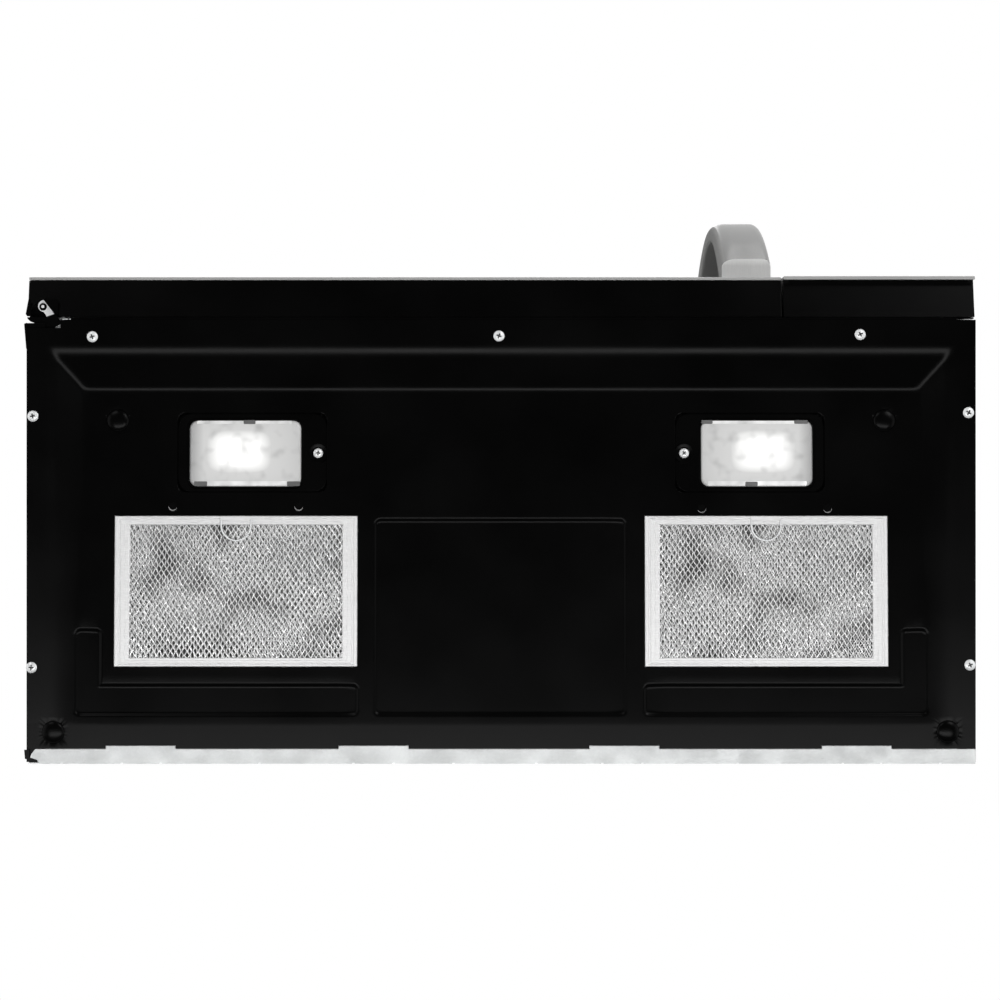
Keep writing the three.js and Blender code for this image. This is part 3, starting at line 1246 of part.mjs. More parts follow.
const blowerMotor = cut(
  axle(blowerY, blowerZ, MOTOR_RADIUS, -MOTOR_LENGTH / 2, MOTOR_LENGTH / 2, 20),
  axle(blowerY, blowerZ, MOTOR_SHAFT_RADIUS + GAP, -MOTOR_LENGTH, MOTOR_LENGTH, 12),
);
addPiece('blower_motor', blowerMotor, ZINC);

// Rotor: one shaft through the motor with a drum wheel on each end.
function blowerRotor() {
  const rim = WHEEL_RIM;
  const start = partition + BLOWER_WALL + WHEEL_END_GAP;
  const end = start + WHEEL_LENGTH;
  const shaftEnd = start + WHEEL_DISC;
  const pieces = [axle(0, 0, MOTOR_SHAFT_RADIUS, -shaftEnd, shaftEnd, 12)];
  for (const side of [-1, 1]) {
    const span = (a, b) => (side < 0 ? [-b, -a] : [a, b]);
    pieces.push(axle(0, 0, WHEEL_RADIUS, ...span(start, shaftEnd), 24));
    pieces.push(axle(0, 0, WHEEL_HUB_RADIUS, ...span(start, start + WHEEL_HUB_LENGTH), 12));
    pieces.push(axle(0, 0, WHEEL_RADIUS, ...span(end - rim, end), 24)
      .subtract(axle(0, 0, WHEEL_RADIUS - rim * 2, ...span(end - rim - 1, end + 1), 24)));
    for (let i = 0; i < WHEEL_BLADES; i += 1) {
      pieces.push(solid(new THREE.BoxGeometry(WHEEL_LENGTH - 2, rim * 1.6, 1.2)
        .translate(side * (start + end) / 2, WHEEL_RADIUS - rim, 0)
        .rotateX(2 * Math.PI * i / WHEEL_BLADES)));
    }
  }
  return join(...pieces);
}

addPiece('blower_rotor', blowerRotor(), NATURAL_PLASTIC).position.set(0, blowerY, blowerZ);

// ---------------------------------------------------------------- exhaust outlet
const seatFace = CABINET_HEIGHT - ROOF_RECESS + GAP;
const flapFoot = CABINET_HEIGHT + FLAP_HEIGHT;

function exhaustCollar() {
  const halfX = DUCT_WIDTH / 2;
  const halfY = DUCT_DEPTH / 2;
  const at = (growX, growY, z0, z1) => box(
    -halfX - growX, halfX + growX,
    -DUCT_FROM_WALL - halfY - growY, -DUCT_FROM_WALL + halfY + growY, z0, z1);
  const foot = BLOWER.top + GAP;
  const top = CABINET_HEIGHT + COLLAR_HEIGHT;
  const tube = cut(
    join(at(0, 0, foot, top), at(COLLAR_FLANGE, COLLAR_FLANGE, seatFace, seatFace + SHEET)),
    at(-SHEET, -SHEET, foot + BELOW, top - BELOW),
  );
  const front = -DUCT_FROM_WALL - halfY + SHEET / 2;
  const ledge = box(-halfX + SHEET / 2, halfX - SHEET / 2, front, front + FLAP_LEDGE,
    flapFoot - GAP - SHEET, flapFoot - GAP);
  return join(tube, ledge);
}

addPiece('exhaust_collar', exhaustCollar(), ZINC);

const flapX = DUCT_WIDTH / 2 - SHEET - FLAP_SLACK;
const flapY = DUCT_DEPTH / 2 - SHEET - FLAP_SLACK;
addPiece('damper_flap', box(-flapX, flapX, -DUCT_FROM_WALL - flapY, -DUCT_FROM_WALL + flapY,
  flapFoot, flapFoot + FLAP_THICKNESS), ALUMINIUM);

const bushing = turned([
  [BUSHING.radius - BUSHING.wall, seatFace - BUSHING.height],
  [BUSHING.radius, seatFace - BUSHING.height],
  [BUSHING.radius, seatFace],
  [BUSHING.flange, seatFace],
  [BUSHING.flange, seatFace + BUSHING.flangeThickness],
  [BUSHING.radius - BUSHING.wall, seatFace + BUSHING.flangeThickness],
  [BUSHING.radius - BUSHING.wall, seatFace - BUSHING.height],
]);
addPiece('cord_bushing', solid(bushing), BLACK_PLASTIC).position.set(BUSHING.x, -BUSHING.fromWall, 0);

export default microwave;
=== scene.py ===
# %% [markdown]
# # An over-the-range microwave, seen from below
# The construction is fixed: every moving or load-carrying piece comes packed in the frame. This
# script dresses that frame. It builds fine surfaces over the plain solids, gives each one a
# procedural finish, and lights the whole from the angle of the photograph, straight up at the base.

# %% Load the frame
import json
import math
import random

import bmesh
import bpy
from mathutils import Matrix, Vector

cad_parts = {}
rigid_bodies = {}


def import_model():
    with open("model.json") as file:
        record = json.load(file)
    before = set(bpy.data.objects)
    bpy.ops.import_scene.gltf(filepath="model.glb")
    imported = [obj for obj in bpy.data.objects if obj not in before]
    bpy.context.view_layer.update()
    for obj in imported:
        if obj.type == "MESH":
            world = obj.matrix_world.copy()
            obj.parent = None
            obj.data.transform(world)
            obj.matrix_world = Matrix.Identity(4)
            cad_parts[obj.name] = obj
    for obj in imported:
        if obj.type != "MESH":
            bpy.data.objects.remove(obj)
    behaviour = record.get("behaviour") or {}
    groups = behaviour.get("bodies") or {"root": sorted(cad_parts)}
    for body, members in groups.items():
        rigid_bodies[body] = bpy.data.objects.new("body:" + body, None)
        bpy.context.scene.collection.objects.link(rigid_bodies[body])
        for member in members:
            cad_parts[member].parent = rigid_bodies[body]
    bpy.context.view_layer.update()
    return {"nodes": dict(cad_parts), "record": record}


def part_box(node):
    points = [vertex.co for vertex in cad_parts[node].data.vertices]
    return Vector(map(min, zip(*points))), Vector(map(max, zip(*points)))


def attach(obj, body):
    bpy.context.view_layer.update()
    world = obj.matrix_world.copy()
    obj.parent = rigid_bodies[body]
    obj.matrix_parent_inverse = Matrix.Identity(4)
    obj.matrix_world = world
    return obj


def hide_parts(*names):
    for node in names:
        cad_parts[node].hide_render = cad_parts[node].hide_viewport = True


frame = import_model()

MM = 0.001
scene = bpy.context.scene


def new_object(name, data):
    """An object that carries the data, put into the scene."""
    made = bpy.data.objects.new(name, data)
    scene.collection.objects.link(made)
    return made


def moved(x, y, z):
    """A move by millimetres, as a matrix in metres."""
    return Matrix.Translation((x * MM, y * MM, z * MM))


# %% [markdown]
# Two planes come up again and again: the margin of the bottom cover, which is the lowest flat
# face, and the stainless front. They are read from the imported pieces, so a change of the
# construction moves the dressing with it. Sizes of pieces are given in millimetres, as on a
# drawing, and the scene is in metres: MM and `moved` stand between the two.

# %% Reference planes
SHEET = 1.2 * MM
FLANGE_GAP = 0.3 * MM
margin_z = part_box("cabinet_cover")[0].z - SHEET - FLANGE_GAP
margin = margin_z / MM
door_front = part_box("door_skin")[0].y / MM
print("margin at", round(margin, 1), "mm, front at", round(door_front, 1), "mm")

# %% [markdown]
# The camera comes first. The picture is taken from directly below, with the front of the unit at
# the top. One pixel on the base is 0.799 mm and the far end of the handle is drawn 0.884 times as
# large as the near end, which puts the lens 2.24 m below the base. The sensor is 36 mm wide, so
# the focal length follows from the width that the picture covers.

# %% Camera
PICTURE_WIDTH = 0.799
CAMERA_DROP = 2.24
CAMERA_X = -0.9 * MM
CAMERA_Y = -211 * MM
SENSOR = 36.0

camera_data = bpy.data.cameras.new("camera")
camera_data.sensor_width = SENSOR
camera_data.lens = SENSOR * CAMERA_DROP / PICTURE_WIDTH
camera = new_object("camera", camera_data)
camera.location = (CAMERA_X, CAMERA_Y, margin_z - CAMERA_DROP)
camera.rotation_euler = (math.pi, 0.0, 0.0)
scene.camera = camera
print("lens", round(camera_data.lens, 1), "mm")

# %% [markdown]
# A camera that looks up has its own up direction along -Y here, so the front of the unit is at
# the top of the picture and +X stays on the right.
#
# The floor and the world look pale without lighting the unit too much. A Light Path node tells
# them who asks. To the camera the floor is pale and glows a little, and to all else it is darker,
# so that the black base above it stays black. The world is white to the camera, in reflections
# and through glass, and gives soft grey light otherwise. The floor lies far down, below the camera
# in steep views from below as well. The helpers come first, because every finish needs them too.

# %% Node helpers
def grey(tone):
    """A colour with equal red, green and blue."""
    return (tone, tone, tone)


def math_node(tree, kind, operation, *values):
    """A math node; its inputs take plain values or the outputs of other nodes."""
    node = tree.nodes.new(kind)
    node.operation = operation
    for socket, value in zip(node.inputs, values):
        if isinstance(value, bpy.types.NodeSocket):
            tree.links.new(value, socket)
        else:
            socket.default_value = value
    return node


def combined(tree, operation, *values):
    """Patterns and numbers put together by an operation such as ADD."""
    return math_node(tree, "ShaderNodeMath", operation, *values).outputs["Value"]


def spread(tree, factor, low, high, start=0.3, end=0.7):
    """A pattern spread over the range from low to high."""
    node = tree.nodes.new("ShaderNodeMapRange")
    node.inputs["From Min"].default_value = start
    node.inputs["From Max"].default_value = end
    node.inputs["To Min"].default_value = low
    node.inputs["To Max"].default_value = high
    tree.links.new(factor, node.inputs["Value"])
    return node.outputs["Result"]


def tinted(tree, factor, dark, light, start=0.3, end=0.7):
    """A pattern turned into a colour between dark and light."""
    node = tree.nodes.new("ShaderNodeValToRGB")
    node.color_ramp.elements[0].position = start
    node.color_ramp.elements[0].color = (*dark, 1.0)
    node.color_ramp.elements[1].position = end
    node.color_ramp.elements[1].color = (*light, 1.0)
    tree.links.new(factor, node.inputs["Fac"])
    return node.outputs["Color"]


print("node helpers ready")

# %% World
WORLD_LIGHT = 0.32

world = bpy.data.worlds.new("studio")
scene.world = world
world.use_nodes = True
sky = world.node_tree
background = sky.nodes["Background"]
background.inputs["Color"].default_value = (1.0, 1.0, 1.0, 1.0)
rays = sky.nodes.new("ShaderNodeLightPath").outputs
seen = combined(sky, "MAXIMUM", rays["Is Camera Ray"], rays["Is Glossy Ray"])
seen = combined(sky, "MAXIMUM", seen, rays["Is Transmission Ray"])
sky.links.new(spread(sky, seen, WORLD_LIGHT, 1.0, 0.0, 1.0), background.inputs["Strength"])
print("world light", WORLD_LIGHT)

# %% Floor
FLOOR_DROP = 4.6
FLOOR_HALF = 18.0
FLOOR_SEEN = 0.9
FLOOR_UNSEEN = 0.3
FLOOR_GLOW = 0.32

floor_z = margin_z - FLOOR_DROP
floor_mesh = bpy.data.meshes.new("studio_floor")
floor_mesh.from_pydata(
    [(-FLOOR_HALF, -FLOOR_HALF, floor_z), (FLOOR_HALF, -FLOOR_HALF, floor_z),
     (FLOOR_HALF, FLOOR_HALF, floor_z), (-FLOOR_HALF, FLOOR_HALF, floor_z)], [], [(0, 1, 2, 3)])
floor = new_object("studio_floor", floor_mesh)
floor_paint = bpy.data.materials.new("pale_floor")
floor_paint.use_nodes = True
paint = floor_paint.node_tree
floor_shader = paint.nodes["Principled BSDF"]
seen = paint.nodes.new("ShaderNodeLightPath").outputs["Is Camera Ray"]
floor_tone = tinted(paint, seen, grey(FLOOR_UNSEEN), grey(FLOOR_SEEN), 0.0, 1.0)
floor_glow = combined(paint, "MULTIPLY", seen, FLOOR_GLOW)
paint.links.new(floor_tone, floor_shader.inputs["Base Color"])
paint.links.new(floor_glow, floor_shader.inputs["Emission Strength"])
floor_shader.inputs["Emission Color"].default_value = (1.0, 1.0, 1.0, 1.0)
floor_shader.inputs["Roughness"].default_value = 0.8
floor_mesh.materials.append(floor_paint)
print("floor", FLOOR_DROP, "m below the base")

# %% [markdown]
# A flat black sheet seen square on mirrors whatever is behind the camera, so nothing bright goes
# there. One soft box stands behind and below: it draws the rolled edges of the dish, whose metal
# turns that way. A dim one in front and to the left draws the edges of the pressed fields, and one
# to the right of it lights the end of the handle. Two large ones at the sides graze the sheet and
# only brighten what is pale. The last three light the front, the back and the roof for other views.

# %% Lamps
def soft_box(name, place, target, width, height, power):
    """A rectangular lamp at place that points at target."""
    data = bpy.data.lights.new(name, "AREA")
    data.shape = "RECTANGLE"
    data.size = width
    data.size_y = height
    data.energy = power
    lamp = new_object(name, data)
    lamp.location = place
    toward = Vector(target) - Vector(place)
    lamp.rotation_euler = toward.to_track_quat("-Z", "Y").to_euler()


middle_of_base = (0.0, -0.2, margin_z)
soft_box("front_left_box", (-1.1, -1.9, -1.6), middle_of_base, 0.9, 0.9, 8)
soft_box("rear_low_box", (0.0, 0.3, -1.8), (0.0, -0.33, margin_z), 1.9, 0.42, 17)
soft_box("front_right_box", (1.2, -1.6, -1.6), (0.2, -0.4, -0.1), 0.9, 0.9, 16)
soft_box("left_side_box", (-2.2, -0.3, -1.1), middle_of_base, 2.2, 1.8, 14)
soft_box("right_side_box", (2.2, -0.2, -1.1), middle_of_base, 2.2, 1.8, 13)
soft_box("front_high_box", (0.6, -2.6, 0.6), (0.1, -0.3, 0.0), 1.8, 1.0, 31)
soft_box("rear_high_box", (0.2, 1.8, 0.9), (0.0, 0.0, 0.0), 1.4, 1.2, 16)
soft_box("top_box", (-0.6, -0.8, 2.2), (0.0, -0.2, 0.0), 1.6, 1.6, 12)

# %% [markdown]
# ## Finishes
# Each finish is a node material. They share a few helpers: one starts a material and hands back
# its shader, one adds a noise pattern in the object's own coordinates, one gives the shader its
# colour and its roughness, and one turns a pattern into bump. Object coordinates are used because
# the pieces are built at their real place, so a pattern has the same scale on every piece.

# %% Material helpers
def new_finish(name):
    """A material with its node tree, its shader and the object's own coordinates."""
    material = bpy.data.materials.new(name)
    material.use_nodes = True
    tree = material.node_tree
    shader = tree.nodes["Principled BSDF"]
    coords = tree.nodes.new("ShaderNodeTexCoord")
    return material, tree, shader, coords.outputs["Object"]


def stretched(tree, vector, scale):
    """The coordinates scaled by one factor for each axis."""
    mapping = tree.nodes.new("ShaderNodeMapping")
    mapping.inputs["Scale"].default_value = scale
    tree.links.new(vector, mapping.inputs["Vector"])
    return mapping.outputs["Vector"]


def noise(tree, vector, scale, detail=3.0):
    """Soft random spots of the given scale."""
    node = tree.nodes.new("ShaderNodeTexNoise")
    node.inputs["Scale"].default_value = scale
    node.inputs["Detail"].default_value = detail
    tree.links.new(vector, node.inputs["Vector"])
    return node.outputs["Fac"]


def coated(tree, shader, colour, roughness):
    """The shader takes its colour and its roughness from two patterns."""
    tree.links.new(colour, shader.inputs["Base Color"])
    tree.links.new(roughness, shader.inputs["Roughness"])


def bumped(tree, shader, height, distance, strength=1.0):
    """Bump of the given real height on the shader."""
    node = tree.nodes.new("ShaderNodeBump")
    node.inputs["Strength"].default_value = strength
    node.inputs["Distance"].default_value = distance
    tree.links.new(height, node.inputs["Height"])
    tree.links.new(node.outputs["Normal"], shader.inputs["Normal"])


print("material helpers ready")

# %% [markdown]
# The casing is black powder coat. Powder melts into a skin with a fine ripple, so the finish has
# a soft wide gloss rather than a mirror, and a little unevenness in how glossy it is.

# %% Black powder coat
def powder_coat():
    """A black that gives back hardly any light but its soft gloss."""
    material, tree, shader, place = new_finish("black_powder_coat")
    cloud = noise(tree, place, 14.0, 4.0)
    coated(tree, shader, tinted(tree, cloud, grey(0.0005), grey(0.0012)),
           spread(tree, cloud, 0.22, 0.27))
    shader.inputs["Specular IOR Level"].default_value = 0.06
    bumped(tree, shader, noise(tree, place, 900.0, 2.0), 0.03 * MM, 0.3)
    return material


black_finish = powder_coat()
print("made", black_finish.name)

# %% [markdown]
# Sheet parts that aren't painted carry bright zinc. Under a lens zinc shows a patchwork of flat
# crystals. A cell pattern gives each patch its own slight shade, and noise breaks up the gloss.

# %% Bright zinc
def zinc(name, dark, light, patches=160.0):
    """Zinc plate with a patchwork of crystals between a dark and a light shade."""
    material, tree, shader, place = new_finish(name)
    cells = tree.nodes.new("ShaderNodeTexVoronoi")
    cells.inputs["Scale"].default_value = patches
    tree.links.new(place, cells.inputs["Vector"])
    patch = tree.nodes.new("ShaderNodeSeparateColor")
    tree.links.new(cells.outputs["Color"], patch.inputs["Color"])
    coated(tree, shader, tinted(tree, patch.outputs["Red"], dark, light, 0.0, 1.0),
           spread(tree, noise(tree, place, 60.0), 0.3, 0.46))
    shader.inputs["Metallic"].default_value = 0.35
    bumped(tree, shader, noise(tree, place, 320.0), 0.02 * MM, 0.4)
    return material


def worn_steel():
    """The cross recess of a screw: dark steel that paints the shade in the recess, with some dirt.
    """
    material, tree, shader, place = new_finish("worn_steel")
    shade_and_dirt = noise(tree, place, 2200.0, 3.0)
    coated(tree, shader, tinted(tree, shade_and_dirt, (0.035, 0.035, 0.037), grey(0.1)),
           spread(tree, shade_and_dirt, 0.45, 0.65))
    shader.inputs["Metallic"].default_value = 0.5
    bumped(tree, shader, shade_and_dirt, 0.01 * MM, 0.5)
    return material


zinc_finish = zinc("bright_zinc", (0.7, 0.71, 0.72), (0.8, 0.81, 0.81))
flange_finish = zinc("pale_zinc", (0.4, 0.41, 0.41), (0.43, 0.44, 0.44), 600.0)
recess_shade_finish = worn_steel()
print("made", zinc_finish.name, flange_finish.name, recess_shade_finish.name)

# %% [markdown]
# The front, the handle and the grille are brushed stainless. Brushing leaves long fine scratches
# along one direction: noise is stretched fifty times along it. The scratches change the gloss and
# make a small bump, and the anisotropic shader draws the highlight out across them.

# %% Brushed stainless
def stainless(name, grain, metal, lift, shine=0.5):
    """Brushed steel; a lower metal share and less shine make it duller at a glancing angle."""
    material, tree, shader, place = new_finish(name)
    lines = noise(tree, stretched(tree, place, grain), 60.0, 5.0)
    smudge = noise(tree, place, 9.0, 3.0)
    dark = (0.37 * lift, 0.37 * lift, 0.367 * lift)
    light = (0.43 * lift, 0.43 * lift, 0.425 * lift)
    gloss = combined(tree, "MULTIPLY_ADD", lines, 0.5, spread(tree, smudge, 0.15, 0.32))
    coated(tree, shader, tinted(tree, lines, dark, light), spread(tree, gloss, 0.24, 0.4, 0.1, 0.9))
    shader.inputs["Metallic"].default_value = metal
    shader.inputs["Specular IOR Level"].default_value = shine
    shader.inputs["Anisotropic"].default_value = 0.5
    bumped(tree, shader, lines, 0.015 * MM, 0.5)
    return material


ALONG_X = (1.0, 50.0, 50.0)
ALONG_Z = (50.0, 50.0, 1.0)
SAWN = (160.0, 2.0, 160.0)
front_finish = stainless("brushed_front", ALONG_X, 0.85, 1.0)
# A duller, darker copy for the folded bottom edge: painted shade.
shaded_fold_finish = stainless("folded_edge", ALONG_X, 0.1, 0.9, 0.1)
handle_finish = stainless("brushed_handle", ALONG_Z, 0.25, 0.66, 0.02)
# A copy for the hinge-side flank of the handle with its reflection taken out: painted shade.
shaded_flank_finish = stainless("handle_flank", ALONG_Z, 0.02, 0.8, 0.0)
# A much paler copy for the cut ends of the handle: painted light.
cap_painted_light_finish = stainless("satin_cap", SAWN, 0.3, 2.1, 0.1)
print("finishes so far:", [m.name for m in bpy.data.materials])

# %% [markdown]
# The grease filters are mill-finish aluminium: pale, with broad soft reflections and faint rolling
# marks along the rails. The torn mesh between the rails has painted glints: a fine pattern makes
# each facet of a strand light or dark, as if it caught the light or not. A coarse pattern scales
# that colour with painted shade in patches, weak on the top layer and strong on the deeper ones.
# The clips behind the sight holes are the same metal, duller.

# %% Aluminium
def aluminium(name, pale, rough):
    """Mill-finish aluminium with rolling marks along X."""
    material, tree, shader, place = new_finish(name)
    marks = noise(tree, stretched(tree, place, (4.0, 40.0, 40.0)), 50.0, 4.0)
    coated(tree, shader, tinted(tree, marks, grey(0.86 * pale), grey(pale)),
           spread(tree, marks, rough, rough + 0.14))
    shader.inputs["Metallic"].default_value = 0.3
    bumped(tree, shader, noise(tree, place, 240.0), 0.03 * MM, 0.4)
    return material


def expanded_mesh(name, dark, patch_shade):
    """Aluminium torn into strands, with painted glints on its facets and painted shade in patches.
    """
    material, tree, shader, place = new_finish(name)
    # Painted glints: a fine pattern makes each facet light or dark.
    glint = noise(tree, place, 430.0, 1.0)
    # Painted shade in coarse patches.
    patch = spread(tree, noise(tree, place, 24.0, 1.0), patch_shade, 1.0, 0.33, 0.5)
    facets = tinted(tree, glint, grey(dark), grey(1.0), 0.36, 0.6)
    shade = math_node(tree, "ShaderNodeVectorMath", "SCALE", facets)
    tree.links.new(patch, shade.inputs["Scale"])
    coated(tree, shader, shade.outputs["Vector"], spread(tree, glint, 0.4, 0.24))
    shader.inputs["Metallic"].default_value = 0.3
    bumped(tree, shader, glint, 0.3 * MM, 0.8)
    return material


rail_finish = aluminium("mill_aluminium", 0.82, 0.34)
# The top layer has light painted shade in its patches; the deeper layers are darker, with strong
# painted shade.
strand_finish = expanded_mesh("expanded_aluminium", 0.62, 0.92)
shaded_strand_finish = expanded_mesh("greasy_aluminium", 0.45, 0.16)
clip_finish = aluminium("sight_aluminium", 0.6, 0.4)
print("made", rail_finish.name, strand_finish.name, shaded_strand_finish.name, clip_finish.name)

# %% [markdown]
# The lamp lens is frosted plastic with a bulb close behind it, a little outward of its middle. Its
# glow has two parts. Both follow the distance from the bulb, measured in steps of the bulb's own
# size: a bright core that ends soon, and a weak halo that reaches the rim and fades before the
# outer edge. The distance is taken from squared steps, which makes the core boxy like the bulb.
# Grey smudges of old cooking film dim the whole here and there.

# %% Frosted lens
BULB_HALF_LENGTH = 15 * MM
BULB_HALF_WIDTH = 10 * MM
LENS_HALF_LENGTH = 44.5 * MM
FADE_START = LENS_HALF_LENGTH - 16 * MM
FADE_END = LENS_HALF_LENGTH - 4 * MM
WARM_GLOW = (1.0, 1.0, 0.985, 1.0)


def frosted_lens(name, bulb, side):
    """Frosted plastic that glows round its bulb; side is -1 on the left and 1 on the right."""
    material, tree, shader, place = new_finish(name)
    offset = math_node(tree, "ShaderNodeVectorMath", "SUBTRACT", place, bulb).outputs["Vector"]
    steps = stretched(tree, offset, (1 / BULB_HALF_LENGTH, 1 / BULB_HALF_WIDTH, 0.0))
    squared = math_node(tree, "ShaderNodeVectorMath", "MULTIPLY", steps, steps).outputs["Vector"]
    reach = math_node(tree, "ShaderNodeVectorMath", "LENGTH", squared).outputs["Value"]
    core = spread(tree, reach, 0.5, 0.0, 0.6, 3.0)
    halo = spread(tree, reach, 0.38, 0.24, 1.0, 12.0)
    along = tree.nodes.new("ShaderNodeSeparateXYZ")
    tree.links.new(offset, along.inputs["Vector"])
    outer_edge = spread(tree, along.outputs["X"], 1.0, 0.1, side * FADE_START, side * FADE_END)
    glow = combined(tree, "ADD", core, combined(tree, "MULTIPLY", halo, outer_edge))
    film = noise(tree, place, 85.0, 1.0)
    smudge = spread(tree, film, 1.0, 0.6, 0.5, 0.8)
    tree.links.new(combined(tree, "MULTIPLY", glow, smudge), shader.inputs["Emission Strength"])
    shader.inputs["Emission Color"].default_value = WARM_GLOW
    coated(tree, shader, tinted(tree, film, grey(0.29), grey(0.24), 0.6, 0.75),
           spread(tree, film, 0.42, 0.55))
    bumped(tree, shader, noise(tree, place, 700.0, 2.0), 0.05 * MM, 0.4)
    return material


# The strips beside the lens glow in grey: a painted highlight.
def lit_rim():
    """A glowing strip at the edge of a lens: a painted highlight."""
    material, tree, shader, place = new_finish("lit_rim")
    drift = noise(tree, place, 60.0, 2.0)
    coated(tree, shader, tinted(tree, drift, grey(0.5), grey(0.65)), spread(tree, drift, 0.3, 0.4))
    tree.links.new(spread(tree, drift, 0.04, 0.34), shader.inputs["Emission Strength"])
    shader.inputs["Emission Color"].default_value = WARM_GLOW
    return material


rim_highlight_finish = lit_rim()
print("made", rim_highlight_finish.name)

# %% [markdown]
# Glass comes two ways. The door pane and the display are smoked, the turntable tray is clear soda
# glass with a green edge. Both are smooth, with only a trace of grease in the gloss.

# %% Glass
def glass(name, tint, clearness, rough):
    """Glass of a tint; clearness is the share of light that passes."""
    material, tree, shader, place = new_finish(name)
    film = noise(tree, place, 22.0, 4.0)
    coated(tree, shader, tinted(tree, film, tuple(0.85 * c for c in tint), tint),
           spread(tree, film, rough, rough + 0.05))
    shader.inputs["Transmission Weight"].default_value = clearness
    shader.inputs["IOR"].default_value = 1.5
    return material


smoked_finish = glass("smoked_glass", (0.10, 0.105, 0.11), 0.9, 0.03)
clear_finish = glass("clear_glass", (0.86, 0.93, 0.90), 0.92, 0.02)
print("made", smoked_finish.name, clear_finish.name)

# %% [markdown]
# Mouldings have the fine spark grain of their tool. Black mouldings and unpainted ones differ in
# colour only, so one function makes them all, and the print on the keys as well. The cavity is
# enamelled grey with darker speckles.

# %% Mouldings and enamel
def moulding(name, dark, light, rough, grain):
    """Moulded plastic or film with the fine grain of its tool."""
    material, tree, shader, place = new_finish(name)
    spots = noise(tree, place, 30.0, 3.0)
    coated(tree, shader, tinted(tree, spots, dark, light), spread(tree, spots, rough, rough + 0.1))
    bumped(tree, shader, noise(tree, place, grain, 2.0), 0.04 * MM, 0.5)
    return material


def speckled_enamel():
    """Grey enamel with darker speckles under a thin clear coat."""
    material, tree, shader, place = new_finish("speckled_enamel")
    speckle = noise(tree, place, 420.0, 1.0)
    coated(tree, shader, tinted(tree, speckle, (0.2, 0.2, 0.195), (0.36, 0.36, 0.35), 0.34, 0.44),
           spread(tree, noise(tree, place, 24.0), 0.2, 0.34))
    shader.inputs["Coat Weight"].default_value = 0.25
    bumped(tree, shader, noise(tree, place, 130.0), 0.04 * MM, 0.3)
    return material


black_moulding = moulding("black_moulding", grey(0.012), grey(0.02), 0.42, 700.0)
natural_moulding = moulding("natural_moulding", (0.62, 0.6, 0.55), (0.72, 0.7, 0.65), 0.4, 500.0)
white_print = moulding("white_print", grey(0.7), grey(0.78), 0.5, 900.0)
grey_moulding = moulding("grey_moulding", grey(0.08), grey(0.13), 0.5, 600.0)
key_film = moulding("key_film", (0.03, 0.03, 0.032), (0.042, 0.042, 0.044), 0.3, 1100.0)
cavity_finish = speckled_enamel()
print("finishes so far:", len(bpy.data.materials))

# %% [markdown]
# Three finishes belong to pieces inside the casing: the varnished copper of the transformer, the
# solder mask of the control board, and the granules of the charcoal filter.

# %% Inner finishes
def copper_winding():
    """Turns of varnished wire, one above the other, with painted shade in the grooves between them.
    """
    material, tree, shader, place = new_finish("copper_winding")
    turns = tree.nodes.new("ShaderNodeTexWave")
    turns.bands_direction = "Z"
    turns.inputs["Scale"].default_value = 260.0
    turns.inputs["Distortion"].default_value = 0.6
    tree.links.new(place, turns.inputs["Vector"])
    wire = turns.outputs["Fac"]
    # The colour darkens between the turns: painted shade.
    coated(tree, shader, tinted(tree, wire, (0.16, 0.06, 0.025), (0.5, 0.22, 0.1), 0.1, 0.9),
           spread(tree, noise(tree, place, 50.0), 0.28, 0.45))
    shader.inputs["Metallic"].default_value = 0.8
    bumped(tree, shader, wire, 0.3 * MM, 0.6)
    return material


def circuit_board():
    """Green solder mask over a grid of tracks."""
    material, tree, shader, place = new_finish("circuit_board")
    tracks = tree.nodes.new("ShaderNodeTexBrick")
    tracks.inputs["Scale"].default_value = 90.0
    tracks.inputs["Mortar Size"].default_value = 0.08
    tracks.inputs["Color1"].default_value = (0.02, 0.14, 0.05, 1.0)
    tracks.inputs["Color2"].default_value = (0.015, 0.11, 0.04, 1.0)
    tracks.inputs["Mortar"].default_value = (0.08, 0.28, 0.1, 1.0)
    tree.links.new(place, tracks.inputs["Vector"])
    coated(tree, shader, tracks.outputs["Color"], spread(tree, noise(tree, place, 80.0), 0.3, 0.45))
    bumped(tree, shader, tracks.outputs["Fac"], 0.05 * MM, 0.5)
    return material


def charcoal_granules():
    """Loose black granules, with painted shade in the gaps between them."""
    material, tree, shader, place = new_finish("charcoal_granules")
    grains = tree.nodes.new("ShaderNodeTexVoronoi")
    grains.inputs["Scale"].default_value = 420.0
    tree.links.new(place, grains.inputs["Vector"])
    reach = grains.outputs["Distance"]
    # The colour darkens towards the gaps: painted shade.
    coated(tree, shader, tinted(tree, reach, grey(0.03), grey(0.005), 0.1, 0.6),
           spread(tree, reach, 0.5, 0.9))
    bumped(tree, shader, reach, 1.2 * MM, 0.8)
    return material


copper_finish = copper_winding()
board_finish = circuit_board()
charcoal_finish = charcoal_granules()
print("made", copper_finish.name, board_finish.name, charcoal_finish.name)

# %% [markdown]
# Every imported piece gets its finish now. Pieces that are dressed later keep theirs underneath,
# where it still shows through gaps.

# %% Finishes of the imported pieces
FINISH_OF_SLOT = {
    "black_enamel": black_finish, "zinc_plate": zinc_finish, "stainless": front_finish,
    "filter_aluminium": rail_finish, "frosted_lens": rail_finish, "dark_glass": smoked_finish,
    "clear_glass": clear_finish, "cavity_paint": cavity_finish, "natural_plastic": natural_moulding,
    "black_plastic": black_moulding, "copper_winding": copper_finish, "circuit_board": board_finish,
    "charcoal": charcoal_finish,
}
slot_of_node = {part["node"]: part["material_slot"] for part in frame["record"]["subparts"]}


